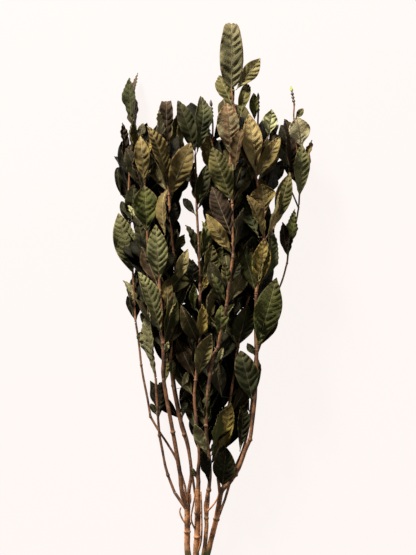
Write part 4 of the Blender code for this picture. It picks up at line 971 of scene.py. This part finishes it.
def bud_material(name, colours, mottle):
    material, tree, shader = new_material(name, specular_ior_level=0.4)
    scale, patch = ((*daylight(colour), 1) for colour in colours)
    shown, grain = dried(tree, mottle, color=scale, patch_color=patch, patch_scale=250.0)
    surfaced(tree, shader, shown, 0.4 + grain * 0.3, grain, 0.2)
    return material


def floor_material():
    """A pale ground that the camera sees as bright as in the photo, however the light falls on it."""
    material, tree, shader = new_material("pale_floor", roughness=0.9, specular_ior_level=0.1)
    shown = mixed(tree, surface_noise(tree, 3.0, 2.0), FLOOR_TONE, FLOOR_PALE)
    tree.links.new(shown, shader.inputs["Base Color"])
    glow = add(tree, "ShaderNodeEmission", {"Color": FLOOR_GLOW, "Strength": 1.0})
    direct = Term(tree, add(tree, "ShaderNodeLightPath").outputs["Is Camera Ray"]) * FLOOR_GLOW_SHARE
    both = add(tree, "ShaderNodeMixShader", {0: direct, 1: shader.outputs[0], 2: glow.outputs[0]})
    tree.links.new(both.outputs[0], tree.nodes["Material Output"].inputs["Surface"])
    return material


def daylight(colour, shade=1.0):
    """A colour of 0 to 255 as it shows, as the share of light that the surface gives back."""
    return [shade * ((part / 255 + 0.055) / 1.055) ** 2.4 if part > 10 else shade * part / 3294
            for part in colour]


def find_shift():
    """How far the solids were moved to bring the middle of their box over the origin."""
    spots = [vertex.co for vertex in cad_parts["woody_stem"].data.vertices]
    foot_y = min(spot.y for spot in spots)
    cap = [spot.x for spot in spots if spot.y - foot_y < 0.1 * MM]
    return Vector(((min(cap) + max(cap)) / 2 - FOOT_ACROSS * MM, foot_y, 0))


def from_fork(name):
    """The first points of a twig: inside the stem that carries it, at the fork's end and just past it."""
    _, inside, end = FORKS[name]
    line = (Vector(end[:3]) - Vector(inside[:3])).normalized()
    start = Vector(end[:3]) + line * JOINT_GAP
    return [(*start, end[3]), (*(start + line * FORK_RUN), end[3])]


def twig_paths(name):
    main, *sides = TWIGS[name]
    return [from_fork(name) + main, *sides]


def nearest_on_twig(name, across, along):
    """The point on the branch's twigs that is nearest in plan, and the twig's radius there."""
    best = None
    for path in twig_paths(name):
        for start, end in zip(path, path[1:]):
            run = (end[0] - start[0], end[1] - start[1])
            length = math.hypot(*run)
            share = ((across - start[0]) * run[0] + (along - start[1]) * run[1]) / length ** 2
            share = min(max(share, 0), 1 - END_MARGIN / length)
            spot = [a + (b - a) * share for a, b in zip(start[:4], end[:4])]
            far = math.hypot(spot[0] - across, spot[1] - along)
            if best is None or far < best[0]:
                best = (far, spot)
    return Vector(best[1][:3]), best[1][3]


def pair_leaves(node):
    """Opposite pairs at the rings of a twig, turned to its underside, as the solids have them."""
    path = TWIGS[node][0]
    draw = random.Random(node + " pairs")
    leaves = []
    for index, point in enumerate(path[:-1]):
        if len(point) == 4 or point[1] < PAIRS_FROM[node]:
            continue
        ahead = path[index + 1]
        heading = math.atan2(ahead[0] - point[0], ahead[1] - point[1])
        for hand in (-1, 1):
            if draw.random() < FALLEN:
                continue
            turn = heading + hand * math.radians(draw.uniform(*PAIR_SPREAD))
            length = draw.uniform(*PAIR_LENGTH)
            tip = (point[0] + length * math.sin(turn), point[1] + length * math.cos(turn))
            leaves.append((*tip, point[0], point[1], draw.uniform(*PAIR_WIDTH),
                           draw.uniform(*PAIR_RISE), draw.choice(PAIR_TINTS)))
    return leaves


def solid_rise(node, leaf, corners):
    """The rise that the solid's blade got. None if the solid has no such blade."""
    root, _ = nearest_on_twig(node, leaf[2], leaf[3])
    if leaf[5] is PRESSED:
        return PRESSED_DEPTH - root.z
    near = [spot.z for spot in corners if math.hypot(spot.x - leaf[0], spot.y - leaf[1]) < SOLID_LEEWAY]
    for change in RISES:
        rise = leaf[5] + change
        if any(abs(height - max(root.z + rise, 0)) < SOLID_LEEWAY for height in near):
            return rise
    return None


def blade_frame(node, leaf, rise, name):
    """Where a blade is and how it is turned, with the same draws as its solid, then those of its finish."""
    tip_x, tip_y, base_x, base_y, seen, _, look = leaf
    draw = random.Random(name)
    root, radius = nearest_on_twig(node, base_x, base_y)
    reach = Vector((tip_x - root.x, tip_y - root.y))
    if math.hypot(base_x - root.x, base_y - root.y) < radius + NECK_CLEARANCE:
        base_x, base_y = Vector((root.x, root.y)) + reach.normalized() * (radius + NECK_CLEARANCE)
    tip = Vector((tip_x, tip_y, root.z + rise))
    part = math.hypot(base_x - root.x, base_y - root.y) / reach.length
    base = Vector((base_x, base_y, root.z + (tip.z - root.z) * part))
    line = tip - base
    length = line.length
    line.normalize()
    width = max(seen, SLIMMEST_BLADE * length)
    roll = min(math.acos(seen / width), STEEPEST_ROLL) * draw.choice((-1, 1))
    flat_side = line.cross(Vector((0, 0, 1))).normalized()
    side = flat_side * math.cos(roll) + flat_side.cross(line) * math.sin(roll)
    fold = math.radians(draw.uniform(*FOLD_DEGREES)) * FOLD_KEPT
    bow = draw.uniform(*BOW) * length
    wave = draw.uniform(*WAVE) * WAVE_GAIN * min(max(width / WAVY_WIDTH, LEAST_WAVE), 1)
    phase = draw.uniform(0, math.tau)

    near, patch, far, rib_show, browning, specks, underside = LOOKS[look]
    finish = random.Random(name + " finish")
    level = math.cos(roll)
    curl = finish.uniform(*CURL) * finish.choice(CURL_SIDES)
    start = finish.uniform(*CURL_START)
    twist = finish.uniform(*TWIST) * level
    shade = finish.uniform(*SHADE)
    # painted shade: the leaves behind are darkened as if in the shadow of those in front
    if "_leaf_" not in name:
        shade *= PAINTED_SHADE_BEHIND
    # painted shade: all but yellow leaves grow darker towards the foot
    if look != "yellow":
        way_up = min(max((base_y - FOOT_SHADE_END) / FULL_COLOUR_WAY, 0), 1)
        shade *= PAINTED_FOOT_SHADE + FOOT_SHADE_GAIN * way_up
    cup = finish.choice(CUPS) * finish.uniform(*CUP_CHANGE) * level + LEAST_CUP
    relief = finish.uniform(*RELIEF) * min(width / RIBBED_WIDTH, MOST_RELIEF)
    relief *= (STEEP_RELIEF + LEVEL_RELIEF * level) * (-1 if underside else 1)
    skew = finish.uniform(*SKEW) * level
    margin = finish.uniform(*MARGIN) * level
    if name in OWN_SHAPES:
        curl, start, cup, twist, relief = OWN_SHAPES[name]
        skew *= CALMER_SKEW
        margin *= CALMER_MARGIN
    stretch = start + (1 - start) * math.sin(min(abs(curl), math.pi / 2)) / abs(curl)
    drawn_in = (math.sin(fold + cup) - math.sin(fold)) / cup / math.cos(fold)
    margin_skew = finish.uniform(*MARGIN_SKEW) * margin
    drawn_ribs = round(min(max(length / stretch / finish.uniform(*RIB_SPACING), FEWEST_RIBS), MOST_RIBS))
    drawn_lean = finish.uniform(*LEAN)
    fullness = finish.uniform(*FULLNESS) if abs(curl) < 1 else ROLLED_FULLNESS
    stalk = finish.uniform(*STALK_RADIUS)
    return {
        "root": root * MM, "base": base * MM, "line": line, "side": side, "up": side.cross(line),
        "length": length / stretch * MM, "width": width / drawn_in * MM, "fold": fold, "bow": bow * MM,
        "wave": wave * MM, "phase": phase, "cup": cup, "skew": skew, "margin": margin,
        "margin_skew": margin_skew, "curl": curl, "curl_from": start, "twist": twist,
        "ribs": float(RIB_COUNTS.get(name, drawn_ribs)), "relief": relief * MM,
        "keel": (RAISED_KEEL if underside else SUNK_KEEL) * MM, "lean": LOW_WIDEST.get(name, drawn_lean),
        "fullness": fullness, "stalk": stalk * MM,
        "near": daylight(near, shade), "near_patch": daylight(patch, shade), "far": daylight(far, shade),
        "far_patch": daylight([part * FAR_PATCH_SHADE for part in far], shade),
        "rib_show": rib_show, "browning": browning, "specks": specks,
    }


def reach_at(along):
    for (low, low_left, low_right), (high, high_left, high_right) in zip(REACH, REACH[1:]):
        if low <= along <= high:
            share = (along - low) / (high - low)
            return low_left + (high_left - low_left) * share, low_right + (high_right - low_right) * share
    return 0, 0


def hidden(leaf):
    """Whether a leaf of the fill keeps inside the foliage and off its openings."""
    tip_x, tip_y, base_x, base_y, seen, _, _ = leaf
    across = Vector((tip_y - base_y, base_x - tip_x)).normalized() * seen / 2
    for share in (0, 0.25, 0.5, 0.75, 1):
        x, y = base_x + (tip_x - base_x) * share, base_y + (tip_y - base_y) * share
        for hand in (-1, 0, 1):
            swing = hand * (0.3 if share in (0, 1) else 1)  # a leaf is narrow at both ends
            spot_x, spot_y = x + across.x * swing, y + across.y * swing
            left, right = reach_at(spot_y)
            if not left < spot_x < right:
                return False
            if any(a < spot_x < c and b < spot_y < d for a, b, c, d in GAPS):
                return False
    return True


def fill_leaves(node):
    """Leaves behind along a twig, both ways, that the solids leave out."""
    low, high = FILLED[node]
    path = twig_paths(node)[0]
    draw = random.Random(node + " fill")
    leaves = []
    along = low
    while along < high:
        for hand in (-1, 1):
            start = next(i for i in range(len(path) - 1) if path[i + 1][1] >= along)
            share = (along - path[start][1]) / (path[start + 1][1] - path[start][1])
            across, height = (path[start][k] + (path[start + 1][k] - path[start][k]) * share for k in (0, 2))
            for _ in range(FILL_TRIES):
                turn = hand * math.radians(draw.uniform(*FILL_SPREAD))
                length = draw.uniform(*FILL_LENGTH)
                drop = height * draw.uniform(*FILL_DROP)
                leaf = (across + length * math.sin(turn), along + length * math.cos(turn), across, along,
                        draw.uniform(*FILL_WIDTH), -drop, draw.choice(FILL_LOOKS))
                if hidden(leaf):
                    leaves.append(leaf)
                    break
        along += FILL_STEP * draw.uniform(*FILL_STEP_CHANGE)
    return leaves


def point_mesh(name, rows, shift):
    """A mesh of loose points, one for each row, that carries the rows' values as attributes."""
    mesh = bpy.data.meshes.new(name)
    mesh.from_pydata([row["base"] + shift for row in rows], [], [])
    for key, value in rows[0].items():
        if isinstance(value, Vector):
            layer = mesh.attributes.new(key, "FLOAT_VECTOR", "POINT")
            offset = shift if key in ("root", "base") else Vector()
            for index, row in enumerate(rows):
                layer.data[index].vector = row[key] + offset
        elif isinstance(value, list):
            layer = mesh.attributes.new(key, "FLOAT_COLOR", "POINT")
            for index, row in enumerate(rows):
                layer.data[index].color = (*row[key], 1)
        else:
            layer = mesh.attributes.new(key, "FLOAT", "POINT")
            for index, row in enumerate(rows):
                layer.data[index].value = row[key]
    return mesh


def path_mesh(name, paths, shift):
    """Twig paths as a mesh of edges with their girth, and a ring mark at each swollen node."""
    spots, edges, girths, rings = [], [], [], []
    for path in paths:
        first = len(spots)
        for index, point in enumerate(path):
            here = Vector(point[:3])
            around = [(here, point[3], 0.0)]
            if len(point) == 5:
                ahead = (Vector(path[index + 1][:3]) - here).normalized() * RING_HALF_LENGTH
                around = [(here, point[3], 1.0), (here + ahead, point[3], 0.0)]
                if index:
                    behind = (Vector(path[index - 1][:3]) - here).normalized() * RING_HALF_LENGTH
                    around.insert(0, (here + behind, point[3], 0.0))
            for spot, girth, ring in around:
                spots.append(spot * MM + shift)
                girths.append(girth * MM)
                rings.append(ring)
        edges += [(i, i + 1) for i in range(first, len(spots) - 1)]
    mesh = bpy.data.meshes.new(name)
    mesh.from_pydata(spots, edges, [])
    for key, values in (("girth", girths), ("ring", rings)):
        layer = mesh.attributes.new(key, "FLOAT", "POINT")
        layer.data.foreach_set("value", values)
    return mesh


def grown(name, mesh, tree, keys, sizes):
    """Runs a geometry tree on a mesh and leaves its result as a plain mesh."""
    source = bpy.data.objects.new(name + "_points", mesh)
    bpy.context.scene.collection.objects.link(source)
    modifier = source.modifiers.new("grow", "NODES")
    modifier.node_group = tree
    for label, value in sizes.items():
        modifier[keys[label]] = value
    graph = bpy.context.evaluated_depsgraph_get()
    result = bpy.data.meshes.new_from_object(source.evaluated_get(graph), preserve_all_data_layers=True,
                                             depsgraph=graph)
    source.modifiers.remove(modifier)
    bpy.data.objects.remove(source, do_unlink=True)
    result.name = name
    while result.materials and result.materials[0] is None:
        result.materials.pop(index=0)
    piece = bpy.data.objects.new(name, result)
    bpy.context.scene.collection.objects.link(piece)
    return piece


def declare(piece, slot, *nodes):
    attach(piece, "root")
    if nodes:
        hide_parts(*nodes)


def grow_branch(node, spray, twig, shift):
    """The fine leaves, the leaves behind and the twig of one branch."""
    name = node + "_branch"
    corners = [(vertex.co - shift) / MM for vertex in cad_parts[name].data.vertices]
    fine, behind = [], []
    for kind, rows, leaves in (("leaf", fine, LEAVES[node]), ("pair", behind, pair_leaves(node))):
        for index, leaf in enumerate(leaves):
            rise = solid_rise(node, leaf, corners)
            if rise is None and kind == "leaf":
                rise = leaf[5] or 0
            if rise is not None:
                rows.append(blade_frame(node, leaf, rise, f"{node}_{kind}_{index:02d}"))
    for index, leaf in enumerate(fill_leaves(node) + EXTRAS.get(node, [])):
        behind.append(blade_frame(node, leaf, leaf[5], f"{node}_fill_{index:02d}"))
    for group, rows, sizes, replaced in (("leaves", fine, FINE_LEAVES, [name]),
                                         ("leaves_behind", behind, PLAIN_LEAVES, [])):
        if rows:
            mesh = point_mesh(f"{node}_{group}_points", rows, shift)
            piece = grown(f"{node}_{group}", mesh, *spray, sizes)
            declare(piece, "leaves", *replaced)
    main, *sides = twig_paths(node)
    mesh = path_mesh(node + "_path", [[FORKS[node][1]] + main, *sides], shift)
    declare(grown(node + "_twig", mesh, *twig, TWIG_SIZES), "bark")


def bud(name, spot, heading, length, radius, scales):
    """A pointed bud in line with its twig: rings of points between two ends, with three soft ridges."""
    line = heading.normalized()
    across = line.cross(Vector((0, 0, 1))).normalized()
    up = across.cross(line)
    spots, faces = [spot], []
    for share, girth in BUD_PROFILE:
        for step in range(BUD_SIDES):
            turn = math.tau * step / BUD_SIDES
            ridge = radius * girth * (1 + BUD_RIDGE * math.cos(turn * 3 + share * 5))
            outward = (across * math.cos(turn) + up * math.sin(turn)) * ridge
            spots.append(spot + line * (length * share) + outward)
    spots.append(spot + line * length)
    last = len(spots) - 1
    for step in range(BUD_SIDES):
        following = (step + 1) % BUD_SIDES
        faces.append((0, 1 + step, 1 + following))
        for row in range(len(BUD_PROFILE) - 1):
            first = 1 + row * BUD_SIDES
            second = first + BUD_SIDES
            faces.append((first + step, second + step, second + following, first + following))
        faces.append((last - BUD_SIDES + step, last, last - BUD_SIDES + following))
    mesh = bpy.data.meshes.new(name)
    mesh.from_pydata(spots, [], faces)
    mesh.materials.append(scales)
    mesh.shade_smooth()
    piece = bpy.data.objects.new(name, mesh)
    bpy.context.scene.collection.objects.link(piece)
    finer = piece.modifiers.new("finer", "SUBSURF")
    finer.levels = finer.render_levels = 1
    return piece


def grow_bud(name, node, length, scales, scar_scales, shift):
    """The bud at the end of a twig, and the scars of the leaves that stood below it."""
    before, end = TWIGS[node][0][-2:]
    heading = Vector(end[:3]) - Vector(before[:3])
    spot = (Vector(end[:3]) - heading.normalized() * BUD_SINK) * MM + shift
    declare(bud(name, spot, heading, length * MM, BUD_RADIUS * MM, scales), "leaves")
    for scar in SCARS:
        knob = spot - heading.normalized() * (SCAR_SPACING * scar * MM)
        piece = bud(f"{name}_scar_{scar}", knob, heading, SCAR_LENGTH * MM, SCAR_RADIUS * MM, scar_scales)
        declare(piece, "leaves")


def lay_floor():
    low = -FLOOR_DEPTH * MM
    corners = [(-FLOOR_HALF, -FLOOR_HALF, low), (FLOOR_HALF, -FLOOR_HALF, low),
               (FLOOR_HALF, FLOOR_HALF, low), (-FLOOR_HALF, FLOOR_HALF, low)]
    mesh = bpy.data.meshes.new("floor")
    mesh.from_pydata(corners, [], [(0, 1, 2, 3)])
    mesh.materials.append(floor_material())
    floor = bpy.data.objects.new("floor", mesh)
    bpy.context.scene.collection.objects.link(floor)


def soft_lamp(name, place, aim, size, power):
    lamp = bpy.data.lights.new(name, "AREA")
    lamp.shape = "SQUARE"
    lamp.size = size
    lamp.energy = power
    lamp.color = LAMP_COLOUR
    obj = bpy.data.objects.new(name, lamp)
    obj.location = place
    obj.rotation_euler = (Vector(aim) - Vector(place)).to_track_quat("-Z", "Y").to_euler()
    obj.visible_camera = False
    bpy.context.scene.collection.objects.link(obj)


def light_scene():
    """A small strong lamp beyond the tips, a wide weak one from the right and a dim sky."""
    world = bpy.data.worlds.new("soft_daylight")
    world.use_nodes = True
    sky = world.node_tree.nodes["Background"]
    sky.inputs["Color"].default_value = SKY_COLOUR
    sky.inputs["Strength"].default_value = SKY_STRENGTH
    bpy.context.scene.world = world
    for lamp in LAMPS:
        soft_lamp(*lamp)
    bpy.context.scene.view_settings.view_transform = "Standard"


def set_camera(shift):
    """Looks straight down, with the photograph's frame laid over the middle height of the foliage."""
    across, along = PHOTO_MIDDLE
    middle = Vector((across * MM, along * MM, 0)) + shift
    camera = bpy.data.cameras.new("camera")
    camera.sensor_width = SENSOR_WIDTH
    camera.lens = camera.sensor_width * CAMERA_HEIGHT / (FRAME_LENGTH * MM)
    camera.clip_end = SIGHT_END
    obj = bpy.data.objects.new("camera", camera)
    obj.location = (middle.x, middle.y, CAMERA_HEIGHT + FOCUS_HEIGHT * MM)
    bpy.context.scene.collection.objects.link(obj)
    bpy.context.scene.camera = obj


shift = find_shift()
foot = shift + Vector((FOOT_ACROSS, 0, LIMBS[0][0][2])) * MM
mottle = dry_mottle_group()
veins = leaf_vein_group()
near_face = leaf_material("leaf_near_face", "near", -1, mottle, veins)
far_face = leaf_material("leaf_far_face", "far", 1, mottle, veins)
bark = bark_material("twig_bark", TWIG_COLOURS, None, mottle)
limb_bark = bark_material("limb_bark", LIMB_COLOURS_AND_LIGHT, [foot.y + far for far in GREEN_FOOT], mottle)
cut_wood = cut_wood_material(foot, mottle)
spray = leafy_spray_tree(near_face, far_face, stalk_material(mottle))
twig = twig_tree("ringed_twig", bark, cut_wood)
limb = twig_tree("ringed_limb", limb_bark, cut_wood)

set_camera(shift)
for node in LEAVES:
    grow_branch(node, spray, twig, shift)
limb_sizes = {**LIMB_SIZES, "Cut Place": foot.y + CUT_DEPTH * MM}
limbs = grown("woody_limbs", path_mesh("limb_paths", LIMBS + SHOOTS, shift), *limb, limb_sizes)
declare(limbs, "bark", "woody_stem")
scales = {kind: bud_material(f"{kind}_bud_scales", colours, mottle)
          for kind, colours in SCALE_COLOURS.items()}
for name, node, length, kind in BUDS:
    grow_bud(name, node, length, scales[kind], scales["brown"], shift)
lay_floor()
light_scene()
